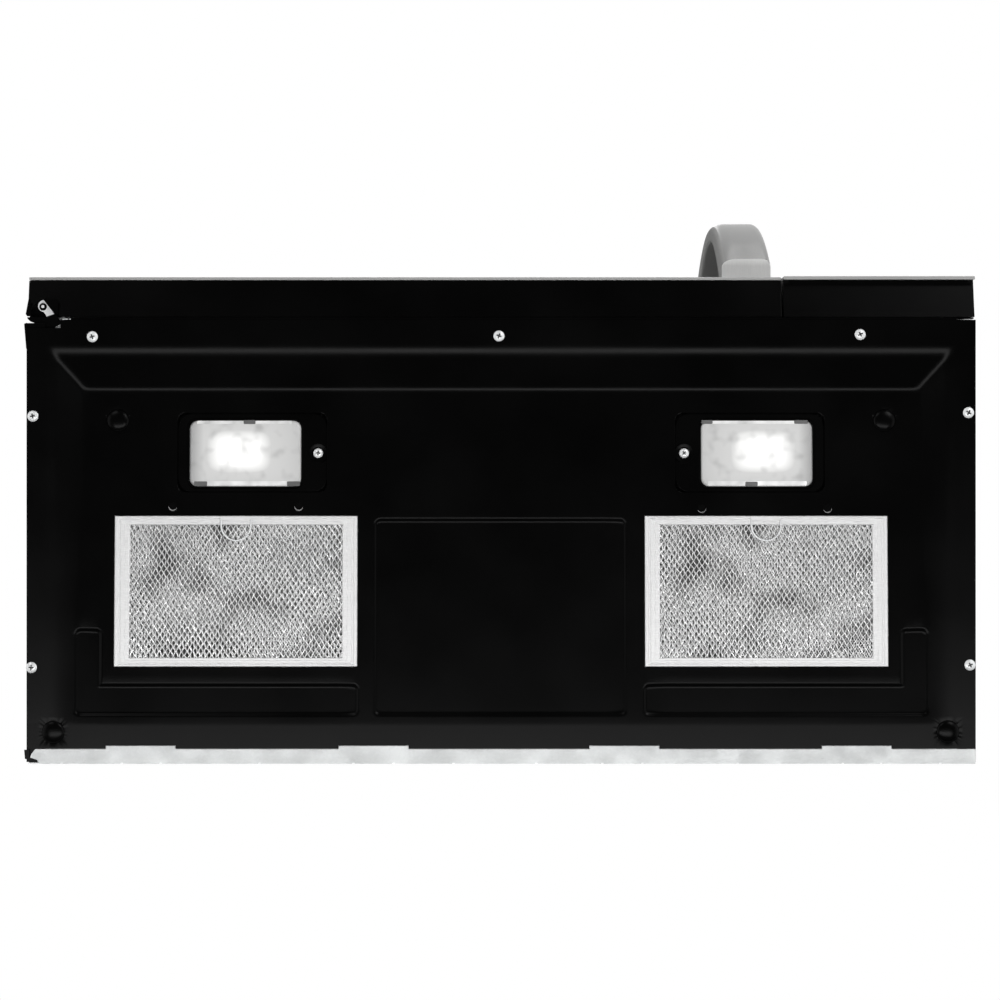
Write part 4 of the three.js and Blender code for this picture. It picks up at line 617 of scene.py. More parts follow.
def finish_node(node, material):
    """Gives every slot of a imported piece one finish."""
    mesh = frame["nodes"][node].data
    if not mesh.materials:
        mesh.materials.append(material)
    for index in range(len(mesh.materials)):
        mesh.materials[index] = material


for node, slot_name in slot_of_node.items():
    finish_node(node, FINISH_OF_SLOT[slot_name])
finish_node("handle", handle_finish)
print("finished nodes:", len(slot_of_node))

# %% [markdown]
# ## Bottom cover
# On the real unit this is one steel sheet pressed in a die: a shallow dish whose floor climbs
# towards the front, rolled edges, three shallow fields, two lamp pockets, and openings for lamps
# and filters. A pressed sheet is a height for every point of its plan, so it is modelled as a
# grid with a height function. Grid lines crowd together where the sheet bends and lie far apart
# where it is flat, which keeps bends smooth without wasting faces. A box with bevels couldn't
# give creases that run out to nothing, as these do at the rear.
#
# Plan sizes are in millimetres, measured from the wall and from the middle of the unit.

# %% Plan of the bottom cover
EDGE = 379.2
FRONT_EDGE = -355.0
CORNER_EDGE = -348.5
CORNER_INNER = -352.2
REAR_EDGE = -12.3
NOTCH_EDGE = -16.3
NOTCH_CENTRES = (-288.0, -102.0, 98.5, 284.0)
NOTCH_HALF = 28.0
DISH_FRONT = -330.0
DISH_REAR = -32.0
DISH_HALF = 360.0
DISH_DEPTH = 14.0
FRONT_SLOPE = 30.0
SIDE_SLOPE_FRONT = 26.0
SIDE_SLOPE_REAR = 15.0
OUTER_ROLL = 2.6
INNER_ROLL = 1.3
CORNER_ROLL = 2.2
FIELD_STEP = 1.5
FIELD_BAND = 3.6
FIELD_CORNER = 6.0
POCKET_STEP = 4.0
POCKET_BAND = 1.3
POCKET_CORNER = 7.0
SHARP_ROLL = 0.15
DIMPLE_RADIUS = 9.0
DIMPLE_HEIGHT = 3.0
DIMPLE_REACH = 1.25
DIMPLE_LIP = 0.35
SIGHT_RADIUS = 3.4
SIGHT_PATCH = 5.0
DIMPLE_PATCH = 12.0

floor_rise = DISH_DEPTH / (DISH_REAR - DISH_FRONT - FRONT_SLOPE)
floor_tilt = math.atan(floor_rise)


def on_floor(y):
    """Real y of a line that is measured along the tilted floor of the dish."""
    return DISH_REAR + (y - DISH_REAR) * math.cos(floor_tilt)


LAMP_POCKET = (139.5, 260.0, on_floor(-281.5), on_floor(-217.3))
LENS_WINDOW = (157.7, 253.3, on_floor(-278.3), on_floor(-219.3))
FILTER_WINDOW = (114.7, 310.3, on_floor(-198.9), on_floor(-77.3))
CENTRE_FIELD = (-102.6, 100.9, on_floor(-197.0), on_floor(-37.8))
SIDE_FIELD_TALL = (319.0, 342.4, on_floor(-109.0), on_floor(-37.6))
SIDE_FIELD_WIDE = (113.2, 342.4, on_floor(-64.8), on_floor(-37.6))
DIMPLES = ((-308.0, -275.0), (308.0, -275.0), (-358.0, -25.5), (357.0, -26.0))
SIGHTS = ((-263.5, -205.5), (-162.5, -205.5), (161.0, -204.0), (262.0, -204.0))
print("floor tilt", round(math.degrees(floor_tilt), 2), "degrees")

# %% Height of the pressed sheet
def soft_min(a, b, blend):
    """The lower of two heights, with a rounded crease."""
    share = max(blend - abs(a - b), 0.0) / blend
    return min(a, b) - share * share * blend * 0.25


def soft_max(a, b, blend):
    """The higher of two heights, with a rounded crease."""
    return -soft_min(-a, -b, blend)


def depth_inside(x, y, plan, corner):
    """How far a point lies inside a rounded rectangle; negative outside it."""
    left, right, front, rear = plan
    dx = abs(x - (left + right) / 2) - (right - left) / 2 + corner
    dy = abs(y - (front + rear) / 2) - (rear - front) / 2 + corner
    return corner - math.hypot(max(dx, 0.0), max(dy, 0.0)) - min(max(dx, dy), 0.0)


def ramp(depth, band):
    """Climbs smoothly from 0 to 1 across the band."""
    share = min(max(depth / band, 0.0), 1.0)
    return share * share * (3.0 - 2.0 * share)


def dish_height(x, y):
    """The dish alone: a tilted floor, a front slope and two side slopes."""
    floor_height = max((DISH_REAR - y) * floor_rise, 0.0)
    back = (y - DISH_FRONT - FRONT_SLOPE) / (DISH_REAR - DISH_FRONT - FRONT_SLOPE)
    back = min(max(back, 0.0), 1.0)
    side_width = SIDE_SLOPE_FRONT + (SIDE_SLOPE_REAR - SIDE_SLOPE_FRONT) * back
    side_top = min(floor_height, DISH_DEPTH)
    side_height = (DISH_HALF - abs(x)) * side_top / side_width
    front_height = (y - DISH_FRONT) * DISH_DEPTH / FRONT_SLOPE
    inner_roll = SHARP_ROLL + (INNER_ROLL - SHARP_ROLL) * side_top / DISH_DEPTH
    outer_roll = SHARP_ROLL + (OUTER_ROLL - SHARP_ROLL) * side_top / DISH_DEPTH
    low = soft_min(front_height, side_height, CORNER_ROLL)
    low = soft_min(low, floor_height, inner_roll)
    return soft_max(low, 0.0, outer_roll)


def sheet_height(x, y):
    """Height of the underside of the sheet above its flat margin."""
    mirrored = abs(x)
    height = dish_height(x, y)
    field = depth_inside(x, y, CENTRE_FIELD, FIELD_CORNER)
    field = max(field, depth_inside(mirrored, y, SIDE_FIELD_TALL, FIELD_CORNER))
    field = max(field, depth_inside(mirrored, y, SIDE_FIELD_WIDE, FIELD_CORNER))
    height += FIELD_STEP * ramp(field, FIELD_BAND)
    pocket = depth_inside(mirrored, y, LAMP_POCKET, POCKET_CORNER)
    height += POCKET_STEP * ramp(pocket, POCKET_BAND)
    for dimple_x, dimple_y in DIMPLES:
        reach = math.hypot(x - dimple_x, y - dimple_y) / DIMPLE_RADIUS
        if reach < 1.0:
            height -= DIMPLE_HEIGHT * math.sqrt(1.0 - reach * reach)
        elif reach < DIMPLE_REACH:
            height += DIMPLE_LIP * (DIMPLE_REACH - reach) / (DIMPLE_REACH - 1.0)
    return height


print("depth at the front of the floor", round(sheet_height(0.0, -290.0), 2), "mm")

# %% [markdown]
# The grid lines come from a ruler. It is given bands where the sheet bends, each with its own
# spacing, and uses a coarse spacing in between. Every end of a band is a line of its own, so the
# straight edges of openings fall exactly on grid lines and come out clean.

# %% Ruler
def ruler(start, stop, bands, coarse):
    """Positions from start to stop, as close together as the finest band there asks."""
    marks = {start, stop}
    for low, high, _ in bands:
        marks.update(mark for mark in (low, high) if start < mark < stop)
    marks = sorted(marks)
    lines = [start]
    for low, high in zip(marks, marks[1:]):
        middle = (low + high) / 2
        spacing = min([coarse] + [step for a, b, step in bands if a <= middle <= b])
        count = max(1, math.ceil((high - low) / spacing - 1e-6))
        lines.extend(low + (high - low) * i / count for i in range(1, count + 1))
    return lines


def mirrored_bands(bands):
    """The bands on both sides of the middle."""
    return bands + [(-high, -low, step) for low, high, step in bands]


COARSE = 9.0
DIMPLE_RINGS = (DIMPLE_REACH, 1.0, 0.995, 0.97, 0.9, 0.78, 0.6, 0.35)
SIGHT_STEP = 1.0
DIMPLE_STEP = 2.4

x_bands = mirrored_bands([
    (330.0, 366.0, 1.8), (336.5, 343.5, 1.0), (318.0, 323.5, 1.0), (112.2, 117.5, 1.0),
    (138.8, 141.4, 0.5), (141.4, 147.5, 1.2), (252.0, 258.1, 1.2), (258.1, 260.7, 0.5),
    (LENS_WINDOW[0], LENS_WINDOW[1], 6.0), (FILTER_WINDOW[0], FILTER_WINDOW[1], 9.0),
    (299.0, 317.0, 1.2), (348.5, 367.5, 1.2), (96.5, 103.5, 1.0),
])
dimple_radii = tuple(DIMPLE_RADIUS * share for share in DIMPLE_RINGS)
patches = [(x, y, SIGHT_PATCH, (SIGHT_RADIUS,), SIGHT_STEP) for x, y in SIGHTS]
patches += [(x, y, DIMPLE_PATCH, dimple_radii, DIMPLE_STEP) for x, y in DIMPLES]
x_bands += [(x - half, x + half, step) for x, _, half, _, step in patches]
x_bands += [(x - NOTCH_HALF, x + NOTCH_HALF, COARSE) for x in NOTCH_CENTRES]
x_bands += [(-EDGE, CORNER_INNER, 4.0)]
y_bands = [
    (FRONT_EDGE, CORNER_EDGE, 3.0), (-338.0, -292.0, 1.4), (-284.0, -266.0, 1.2),
    (LAMP_POCKET[2] - 0.6, LAMP_POCKET[2] + 2.0, 0.5),
    (LAMP_POCKET[3] - 2.0, LAMP_POCKET[3] + 0.6, 0.5),
    (LAMP_POCKET[2], LAMP_POCKET[2] + 8.0, 1.2), (LAMP_POCKET[3] - 8.0, LAMP_POCKET[3], 1.2),
    (LENS_WINDOW[2], LENS_WINDOW[3], 6.0), (FILTER_WINDOW[2], FILTER_WINDOW[3], 9.0),
    (CENTRE_FIELD[2] - 0.4, CENTRE_FIELD[2] + 6.5, 1.0),
    (CENTRE_FIELD[3] - 7.0, CENTRE_FIELD[3] + 0.6, 0.8),
    (SIDE_FIELD_TALL[2] - 0.4, SIDE_FIELD_TALL[2] + 6.5, 1.0),
    (SIDE_FIELD_WIDE[2] - 0.4, SIDE_FIELD_WIDE[2] + 6.5, 1.0),
    (-36.0, -15.0, 1.2), (NOTCH_EDGE, REAR_EDGE, 2.0),
]
y_bands += [(y - half, y + half, step) for _, y, half, _, step in patches]
x_lines = ruler(-EDGE, EDGE, x_bands, COARSE)
y_lines = ruler(FRONT_EDGE, REAR_EDGE, y_bands, COARSE)
print("grid of the bottom cover:", len(x_lines), "by", len(y_lines), "lines")

# %% Mesh helpers
def in_bottom_cover(x, y):
    """Whether the sheet has metal at a point of its plan."""
    mirrored = abs(x)
    for left, right, front, rear in (LENS_WINDOW, FILTER_WINDOW):
        if left < mirrored < right and front < y < rear:
            return False
    if x < CORNER_INNER and y < CORNER_EDGE:
        return False
    if y > NOTCH_EDGE and any(abs(x - centre) < NOTCH_HALF for centre in NOTCH_CENTRES):
        return False
    return not any(abs(x - px) < half and abs(y - py) < half for px, py, half, _, _ in patches)


def mesh_from(name, corners, faces, unit=MM):
    """A mesh object from corner positions and faces."""
    mesh = bpy.data.meshes.new(name)
    mesh.from_pydata([tuple(value * unit for value in corner) for corner in corners], [], faces)
    mesh.update()
    return new_object(name, mesh)


def smooth(piece, angle=40.0):
    """Smooth shading, but with crisp edges where faces meet at more than the angle."""
    piece.data.shade_smooth()
    work = bmesh.new()
    work.from_mesh(piece.data)
    limit = math.radians(angle)
    for edge in work.edges:
        edge.smooth = len(edge.link_faces) == 2 and edge.calc_face_angle(0.0) < limit
    work.to_mesh(piece.data)
    work.free()


print("mesh helpers ready")

# %% Bottom cover
corners = []
numbers = {}


def corner(x, y):
    """Number of the sheet's corner at a point of the plan, made when first asked for."""
    key = (round(x, 4), round(y, 4))
    if key not in numbers:
        numbers[key] = len(corners)
        corners.append((x, y, margin + sheet_height(x, y)))
    return numbers[key]


faces = []
for x0, x1 in zip(x_lines, x_lines[1:]):
    for y0, y1 in zip(y_lines, y_lines[1:]):
        if in_bottom_cover((x0 + x1) / 2, (y0 + y1) / 2):
            faces.append((corner(x0, y1), corner(x1, y1), corner(x1, y0), corner(x0, y0)))


def patch(px, py, half, radii):
    """Fills a square gap in the grid with rings round its middle; one ring leaves a round hole."""
    xs = [x for x in x_lines if px - half - 1e-6 <= x <= px + half + 1e-6]
    ys = [y for y in y_lines if py - half - 1e-6 <= y <= py + half + 1e-6]
    square = [(x, ys[0]) for x in xs] + [(xs[-1], y) for y in ys[1:]]
    square += [(x, ys[-1]) for x in xs[-2::-1]] + [(xs[0], y) for y in ys[-2:0:-1]]
    turns = [math.atan2(y - py, x - px) for x, y in square]
    rings = [square]
    rings += [[(px + r * math.cos(a), py + r * math.sin(a)) for a in turns] for r in radii]
    for outer, inner in zip(rings, rings[1:]):
        for i in range(len(outer)):
            j = (i + 1) % len(outer)
            around = (outer[i], inner[i], inner[j], outer[j])
            faces.append(tuple(corner(*place) for place in around))
    if len(radii) > 1:
        middle = corner(px, py)
        for i, here in enumerate(rings[-1]):
            faces.append((corner(*here), middle, corner(*rings[-1][(i + 1) % len(turns)])))


for px, py, half, radii, _ in patches:
    patch(px, py, half, radii)
bottom_cover = mesh_from("bottom_cover", corners, faces)
sheet = bottom_cover.modifiers.new("sheet", "SOLIDIFY")
sheet.thickness = SHEET
sheet.offset = -1.0
bottom_cover.data.materials.append(black_finish)
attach(bottom_cover, "root")
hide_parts("base_panel")
smooth(bottom_cover)
print("bottom cover:", len(corners), "corners,", len(faces), "faces")

# %% [markdown]
# Most small parts are lofts: a stack of rings with the same number of points, skinned one to the
# next. A lathe part is a loft of circles, a lens is a loft of rounded rectangles that shrink
# towards the face, and a picture frame is a loft whose last ring joins its first. One helper
# therefore serves nearly everything below.

# %% Lofts
def loft(name, rings, joined=False):
    """Skins a stack of rings. Ends are capped, or the last ring is joined to the first."""
    count = len(rings[0])
    points = [point for ring in rings for point in ring]
    skin = []
    pairs = len(rings) if joined else len(rings) - 1
    for i in range(pairs):
        here = i * count
        there = (i + 1) % len(rings) * count
        for k in range(count):
            n = (k + 1) % count
            skin.append((here + k, here + n, there + n, there + k))
    if not joined:
        skin.append(tuple(range(count))[::-1])
        skin.append(tuple(range(len(points) - count, len(points))))
    piece = mesh_from(name, points, skin)
    work = bmesh.new()
    work.from_mesh(piece.data)
    bmesh.ops.recalc_face_normals(work, faces=work.faces)
    work.to_mesh(piece.data)
    work.free()
    return piece


def circle(radius, z, count=32, centre=(0.0, 0.0)):
    """A round ring at height z."""
    turns = [math.tau * i / count for i in range(count)]
    return [(centre[0] + radius * math.cos(a), centre[1] + radius * math.sin(a), z) for a in turns]


def lathe(name, profile, count=32):
    """A part turned about Z from pairs of radius and height."""
    return loft(name, [circle(max(radius, 0.01), z, count) for radius, z in profile])


print("loft helpers ready")

# %% Rounded plates
def rounded_ring(plan, radius, z, steps=8):
    """A rounded rectangle at height z, as one ring."""
    left, right, front, rear = shrunk(plan, radius)
    centres = ((right, rear), (left, rear), (left, front), (right, front))
    ring = []
    for number, (x, y) in enumerate(centres):
        for i in range(steps + 1):
            turn = math.pi / 2 * (number + i / steps)
            ring.append((x + radius * math.cos(turn), y + radius * math.sin(turn), z))
    return ring


def shrunk(plan, inset):
    """The same plan with every side moved inwards."""
    left, right, front, rear = plan
    return (left + inset, right - inset, front + inset, rear - inset)


EASE_STEPS = 5


def cushion(name, plan, radius, low, high, ease):
    """A plate whose lower rim is rounded by the given ease."""
    rings = [rounded_ring(plan, radius, high), rounded_ring(plan, radius, low + ease)]
    for i in range(1, EASE_STEPS + 1):
        turn = math.pi / 2 * i / EASE_STEPS
        inset = ease * (1.0 - math.cos(turn))
        z = low + ease * (1.0 - math.sin(turn))
        rings.append(rounded_ring(shrunk(plan, inset), radius, z))
    return loft(name, rings)


def dressed(piece, body, material, *nodes):
    """Gives a new piece its finish and body, and puts it in place of CAD nodes."""
    piece.data.materials.clear()
    piece.data.materials.append(material)
    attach(piece, body)
    if nodes:
        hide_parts(*nodes)
    return piece


# Position on the dish floor: x, distance from its rear edge along the floor, height off the floor.
dish_edge = Matrix.Translation((0.0, DISH_REAR * MM, margin_z))
floor_frame = dish_edge @ Matrix.Rotation(-floor_tilt, 4, "X")
print("plate helpers ready")

# %% [markdown]
# ## Screws
# Seven pan heads hold the bottom cover and one holds each lamp cover. Each has a cross recess cut
# by a boolean from a tapered cross. The recess points a different way on every screw, because a
# screw stops turning when it is tight, not when it is straight.

# %% Pan head screws
HEAD_HEIGHT = 2.2
DOME = 0.8
SHANK_RADIUS = 1.9
TIP_RADIUS = 0.6
TIP_LENGTH = 1.5
RECESS_DEPTH = 1.5
# Shares of the head's radius: length and width of the recess, and where its painted shade ends.
RECESS_ARM = 0.6
RECESS_HALF = 0.16
RECESS_REACH = 0.66
RECESS_SHADE_LEVEL = 0.06 * MM


def pan_head(name, radius, length):
    """Mesh of a screw pointing up: its head lies below z = 0 and has a cross recess."""
    quadrant = [math.pi / 2 * i / 8 for i in range(1, 8)]
    profile = [(0.0, -HEAD_HEIGHT)]
    profile += [(radius * math.sin(a), -HEAD_HEIGHT * math.cos(a) ** DOME) for a in quadrant]
    profile += [(radius, -0.25 * HEAD_HEIGHT), (radius * 0.97, 0.0)]
    profile += [(SHANK_RADIUS, 0.0), (SHANK_RADIUS, length - TIP_LENGTH), (TIP_RADIUS, length)]
    head = lathe(name, profile)
    arm = radius * RECESS_ARM
    half = radius * RECESS_HALF
    wings = []
    for a, b in ((arm, half), (half, arm)):
        mouth = rounded_ring((-a, a, -b, b), half * 0.6, -HEAD_HEIGHT - 1.0, 2)
        bottom_plan = (-a * 0.55, a * 0.55, -b * 0.6, b * 0.6)
        bottom = rounded_ring(bottom_plan, half * 0.3, -HEAD_HEIGHT + RECESS_DEPTH, 2)
        wings.append(loft("wing", [mouth, bottom]))
    for wing in wings:
        cut = head.modifiers.new("recess", "BOOLEAN")
        cut.operation = "DIFFERENCE"
        cut.solver = "EXACT"
        cut.object = wing
    bpy.context.view_layer.update()
    depsgraph = bpy.context.evaluated_depsgraph_get()
    carved = bpy.data.meshes.new_from_object(head.evaluated_get(depsgraph))
    for helper in (head, *wings):
        bpy.data.objects.remove(helper)
    carved.name = name
    carved.materials.clear()
    carved.materials.append(zinc_finish)
    carved.materials.append(recess_shade_finish)
    # Faces inside the recess take the dark finish: painted shade, with some dirt.
    for face in carved.polygons:
        reach = math.hypot(face.center.x, face.center.y) / (radius * MM)
        dome = -HEAD_HEIGHT * MM * math.sqrt(max(1.0 - min(reach, 1.0) ** 2, 0.0)) ** DOME
        if reach < RECESS_REACH and dome + RECESS_SHADE_LEVEL < face.center.z < 0.0:
            face.material_index = 1
    return carved


print("pan head:", HEAD_HEIGHT, "mm high")

# %% Screws in place
luck = random.Random(11)
for node in [f"base_screw_{i}" for i in range(1, 8)] + ["lamp_screw_left", "lamp_screw_right"]:
    low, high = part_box(node)
    head_radius = (high.x - low.x) / 2 / MM
    shank_length = (high.z - low.z) / MM - HEAD_HEIGHT
    tilted = node.startswith("lamp")
    screw = new_object(node + "_dressed", pan_head(node, head_radius, shank_length))
    seat = ((low.x + high.x) / 2, (low.y + high.y) / 2, low.z + HEAD_HEIGHT * MM)
    tilt = Matrix.Rotation(-floor_tilt if tilted else 0.0, 4, "X")
    turn = Matrix.Rotation(luck.uniform(0.0, math.tau), 4, "Z")
    screw.matrix_world = Matrix.Translation(seat) @ tilt @ turn
    body = node.replace("screw_", "") if tilted else "root"
    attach(screw, body)
    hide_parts(node)
    smooth(screw, 35.0)
print("screws dressed: 9")

# %% [markdown]
# ## Grease filters
# A filter is a folded aluminium frame round three layers of expanded mesh. Expanded mesh is made
# by slitting a sheet and pulling it apart, which leaves zigzag strands that touch their
# neighbours at every turn. Each layer is a bundle of such strands, slightly turned and shifted
# against the next layer, and every turning point is a little off its ideal place.

# %% Filter sizes
FILTER_HALF_WIDTH = 97.3
FILTER_HALF_LENGTH = 60.3
FILTER_MIDDLE = (212.5, -106.1)
SIDE_RAIL = 12.0
END_RAIL = 7.0
STRAND_SPACING = 2.2
STRAND_PERIOD = 6.6
STRAND_WIDTH = 0.6
STRAND_DEPTH = 0.7
LAYER_HEIGHTS = (1.4, 3.0, 5.0)
STRAND_SWING = 0.46
STRAND_LEAN = 0.35
LAYER_TURN = 0.05
# How far a turning point may be off its place: across, along and in height.
SCATTER = (0.42, 0.65, 0.18)
PULL_RADIUS = 11.8
PULL_WIRE = 0.7
PULL_LEGS = 5.0
PULL_PIVOT = 3.0
PULL_DROP = 1.2
PULL_STEPS = 24
PULL_CLIP = (-12.4, 12.4, -60.1, -56.6)
PULL_CLIP_SHAPE = (0.5, -0.5, 0.1, 0.2)
SIDES = (("left", -1.0), ("right", 1.0))

# Share of the rail's width, and height above the underside: a folded lip, a groove, a band.
RAIL_SECTION = (
    (0.0, 8.0), (0.0, 0.5), (0.06, 0.0), (0.2, 0.0), (0.27, 0.9), (0.36, 0.9), (0.43, 0.1),
    (0.66, 0.1), (0.69, 0.35), (0.72, 0.1), (0.92, 0.1), (1.0, 0.8), (1.0, 8.0))
print("mesh layers at", LAYER_HEIGHTS, "mm")

# %% Filter shapes
def rounded_edges(piece, name, width, angle=30.0):
    """Rounds a piece where its faces meet at more than the angle."""
    ease = piece.modifiers.new(name, "BEVEL")
    ease.width = width * MM
    ease.segments = 2
    ease.limit_method = "ANGLE"
    ease.angle_limit = math.radians(angle)
    return ease


def filter_frame(name):
    """Four mitred rails with one section, scaled to the width of each rail."""
    rings = []
    for share, height in RAIL_SECTION:
        half_x = FILTER_HALF_WIDTH - SIDE_RAIL * share
        half_y = FILTER_HALF_LENGTH - END_RAIL * share
        rings.append([(half_x, half_y, height), (-half_x, half_y, height),
                      (-half_x, -half_y, height), (half_x, -half_y, height)])
    return loft(name, rings, joined=True)


def strands(name, height, turn, shift, luck):
    """One layer of expanded mesh: zigzag strands that mirror their neighbours."""
    half_x = FILTER_HALF_WIDTH - SIDE_RAIL + 1.0
    half_y = FILTER_HALF_LENGTH - END_RAIL + 1.0
    half = STRAND_WIDTH / 2
    step = STRAND_SPACING * STRAND_SWING
    points = []
    skin = []
    count = int(2 * half_x / STRAND_SPACING) + 3
    steps = int(2 * half_y / STRAND_PERIOD * 2) + 4
    for k in range(count):
        middle = -half_x + shift[0] + (k - 1) * STRAND_SPACING
        previous = None
        for i in range(steps + 1):
            along = -half_y - STRAND_PERIOD + shift[1] + i * STRAND_PERIOD / 2
            side = 1.0 if (i + k) % 2 else -1.0
            x = middle + side * step + luck.uniform(-SCATTER[0], SCATTER[0])
            y = along + luck.uniform(-SCATTER[1], SCATTER[1])
            x, y = x - turn * y, y + turn * x
            x = min(max(x, -half_x), half_x)
            y = min(max(y, -half_y), half_y)
            z = height + luck.uniform(-SCATTER[2], SCATTER[2])
            first = len(points)
            lean = side * STRAND_WIDTH * STRAND_LEAN
            top = z + STRAND_DEPTH
            points += [(x - half - lean, y, z), (x + half - lean, y, z)]
            points += [(x + half + lean, y, top), (x - half + lean, y, top)]
            if previous is not None:
                for a in range(4):
                    b = (a + 1) % 4
                    skin.append((previous + a, first + a, first + b, previous + b))
            previous = first
    return mesh_from(name, points, skin)


def tube(name, path, radius, count=12):
    """A round wire along a flat path."""
    around = [math.tau * k / count for k in range(count)]
    rings = []
    for i, (x, y, z) in enumerate(path):
        before = path[max(i - 1, 0)]
        after = path[min(i + 1, len(path) - 1)]
        turn = math.atan2(after[1] - before[1], after[0] - before[0])
        rings.append([(x - math.sin(turn) * radius * math.cos(a),
                       y + math.cos(turn) * radius * math.cos(a),
                       z + radius * math.sin(a)) for a in around])
    return loft(name, rings)


print("filter helpers ready")

# %% Grease filters
luck = random.Random(7)
for word, side in SIDES:
    at_filter = floor_frame @ moved(side * FILTER_MIDDLE[0], FILTER_MIDDLE[1], 0.0)
    rails = filter_frame("filter_rails_" + word)
    rounded_edges(rails, "folds", 0.22)
    rails.matrix_world = at_filter
    dressed(rails, "filter_" + word, rail_finish, "filter_frame_" + word)
    layers = []
    for number, height in enumerate(LAYER_HEIGHTS):
        shift = (luck.uniform(0.0, STRAND_SPACING), luck.uniform(0.0, STRAND_PERIOD))
        turn = luck.uniform(-LAYER_TURN, LAYER_TURN)
        layer = strands(f"strands_{word}_{number + 1}", height, turn, shift, luck)
        layer.matrix_world = at_filter
        # Deeper layers take the darker copy with painted shade.
        dressed(layer, "filter_" + word, strand_finish if number == 0 else shaded_strand_finish)
        layers.append(layer)
    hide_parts("filter_mesh_" + word)
    clip = cushion("pull_clip_" + word, PULL_CLIP, *PULL_CLIP_SHAPE)
    clip.matrix_world = at_filter
    dressed(clip, "filter_" + word, rail_finish)
    bend = [math.pi * i / PULL_STEPS for i in range(PULL_STEPS + 1)]
    path = [(-PULL_RADIUS, 0.0, 0.0)]
    path += [(-PULL_RADIUS * math.cos(a), PULL_LEGS + PULL_RADIUS * math.sin(a), 0.0) for a in bend]
    path += [(PULL_RADIUS, 0.0, 0.0)]
    ring = tube("pull_ring_" + word, path, PULL_WIRE)
    ring.matrix_world = at_filter @ moved(0.0, -FILTER_HALF_LENGTH + PULL_PIVOT, -PULL_DROP)
    dressed(ring, "pull_" + word, zinc_finish, "filter_pull_" + word)
    smooth(ring, 50.0)
layers = [o for o in scene.objects if "strands" in o.name]
print("filters dressed, strand faces:", sum(len(o.data.polygons) for o in layers))

# %% [markdown]
# ## Lamp covers
# A black cover closes each lamp pocket and carries the lens. It is held by one screw, which sits in
# a shallow round bay, and its lens is kept in place by a thin lip and a few grey snap tabs. Two
# edges of the lens carry glowing strips, a painted highlight. All of it lies on the tilted floor of
# the dish.

# %% Sizes of the lamp covers
COVER_UNDERSIDE = 2.2
LENS_PLAN = (161.0, 250.0, -275.0, -222.6)
LENS_LOW = 0.75
# Corner radius, lower face, upper face and ease of the lower rim.
LENS_SHAPE = (6.0, LENS_LOW, 3.9, 2.2)
RIM_SHAPE = (0.8, 0.6, 2.0, 0.3)
TAB_SHAPE = (0.8, 0.3, 2.2, 0.4)
BULB_OUTWARD = 5.0
BULB_FORWARD = 1.5
SCREW_AT = (147.0, -249.0)
# Radius and height of each ring of the bay round the screw.
BAY = ((8.2, 0.0), (7.7, -0.5), (7.2, -0.45), (5.2, 0.0))
BAY_SUNK = 0.02
TABS = {
    "left": ((197.4, 207.0, -275.6, -272.4), (236.0, 246.6, -226.3, -222.4),
             (161.5, 171.9, -226.3, -222.4)),
    "right": ((161.0, 170.0, -275.6, -272.6), (235.5, 246.5, -275.6, -272.6),
              (196.0, 206.0, -226.0, -222.4)),
}
# How far the lip stands outside the lens, its corner radius, and how far it comes down.
LIP = ((2.4, 8.0, 0.05), (1.9, 7.6, 0.75), (1.0, 6.9, 0.75), (0.4, 6.4, 0.05))
RIMS = ((168.2, 244.5, -275.1, -272.5), (166.0, 245.5, -226.5, -222.8))


def sided(plan, side):
    """The plan for one side of the unit, in floor coordinates."""
    left, right, front, rear = plan
    if side < 0:
        left, right = -right, -left
    return (left, right, front - DISH_REAR, rear - DISH_REAR)


print("lens:", LENS_PLAN[1] - LENS_PLAN[0], "mm wide")

# %% Lamp covers and lenses
for word, side in SIDES:
    body = "lamp_" + word
    lens_plan = sided(LENS_PLAN, side)
    bulb_x = (lens_plan[0] + lens_plan[1]) / 2 + side * BULB_OUTWARD
    bulb_y = (lens_plan[2] + lens_plan[3]) / 2 - BULB_FORWARD
    bulb = Vector((bulb_x * MM, bulb_y * MM, LENS_LOW * MM))
    lens = cushion("lens_" + word, lens_plan, *LENS_SHAPE)
    smooth(lens, 60.0)
    lens.matrix_world = floor_frame
    dressed(lens, body, frosted_lens("lit_lens_" + word, bulb, side), "lamp_lens_" + word)
    lip = loft("lens_lip_" + word, [
        rounded_ring(shrunk(lens_plan, -outside), radius, COVER_UNDERSIDE - drop)
        for outside, radius, drop in LIP], joined=True)
    smooth(lip, 35.0)
    lip.matrix_world = floor_frame
    dressed(lip, body, black_finish)
    # The two strips along the lens glow: a painted highlight.
    for number, plan in enumerate(RIMS):
        rim = cushion(f"lens_rim_{word}_{number + 1}", sided(plan, side), *RIM_SHAPE)
        rim.matrix_world = floor_frame
        dressed(rim, body, rim_highlight_finish)
    bay = loft("screw_bay_" + word, [circle(radius, z) for radius, z in BAY], joined=True)
    smooth(bay, 50.0)
    bay.matrix_world = floor_frame @ moved(
        side * SCREW_AT[0], SCREW_AT[1] - DISH_REAR, COVER_UNDERSIDE - BAY_SUNK)
    dressed(bay, body, black_finish)
    for number, plan in enumerate(TABS[word]):
        tab = cushion(f"lens_tab_{word}_{number + 1}", sided(plan, side), *TAB_SHAPE)
        tab.matrix_world = floor_frame
        dressed(tab, body, grey_moulding)
print("lamp covers dressed")

# %% [markdown]
# ## Sheet metal and mouldings
# The rest of the casing keeps the shape of its imported pieces, because those are already true in
# size. What a imported piece lacks is an edge that catches light. `eased` copies it, merges the
# triangles of each flat face, rounds the sharp edges a little, and stands in for the piece. A part
# of the copy can have a second finish, such as the bright face of a moulding that is black behind.
# Two second finishes are painted shade: a duller stainless on the fold of the door skin, and black
# on the outer part of the cavity's front plate.

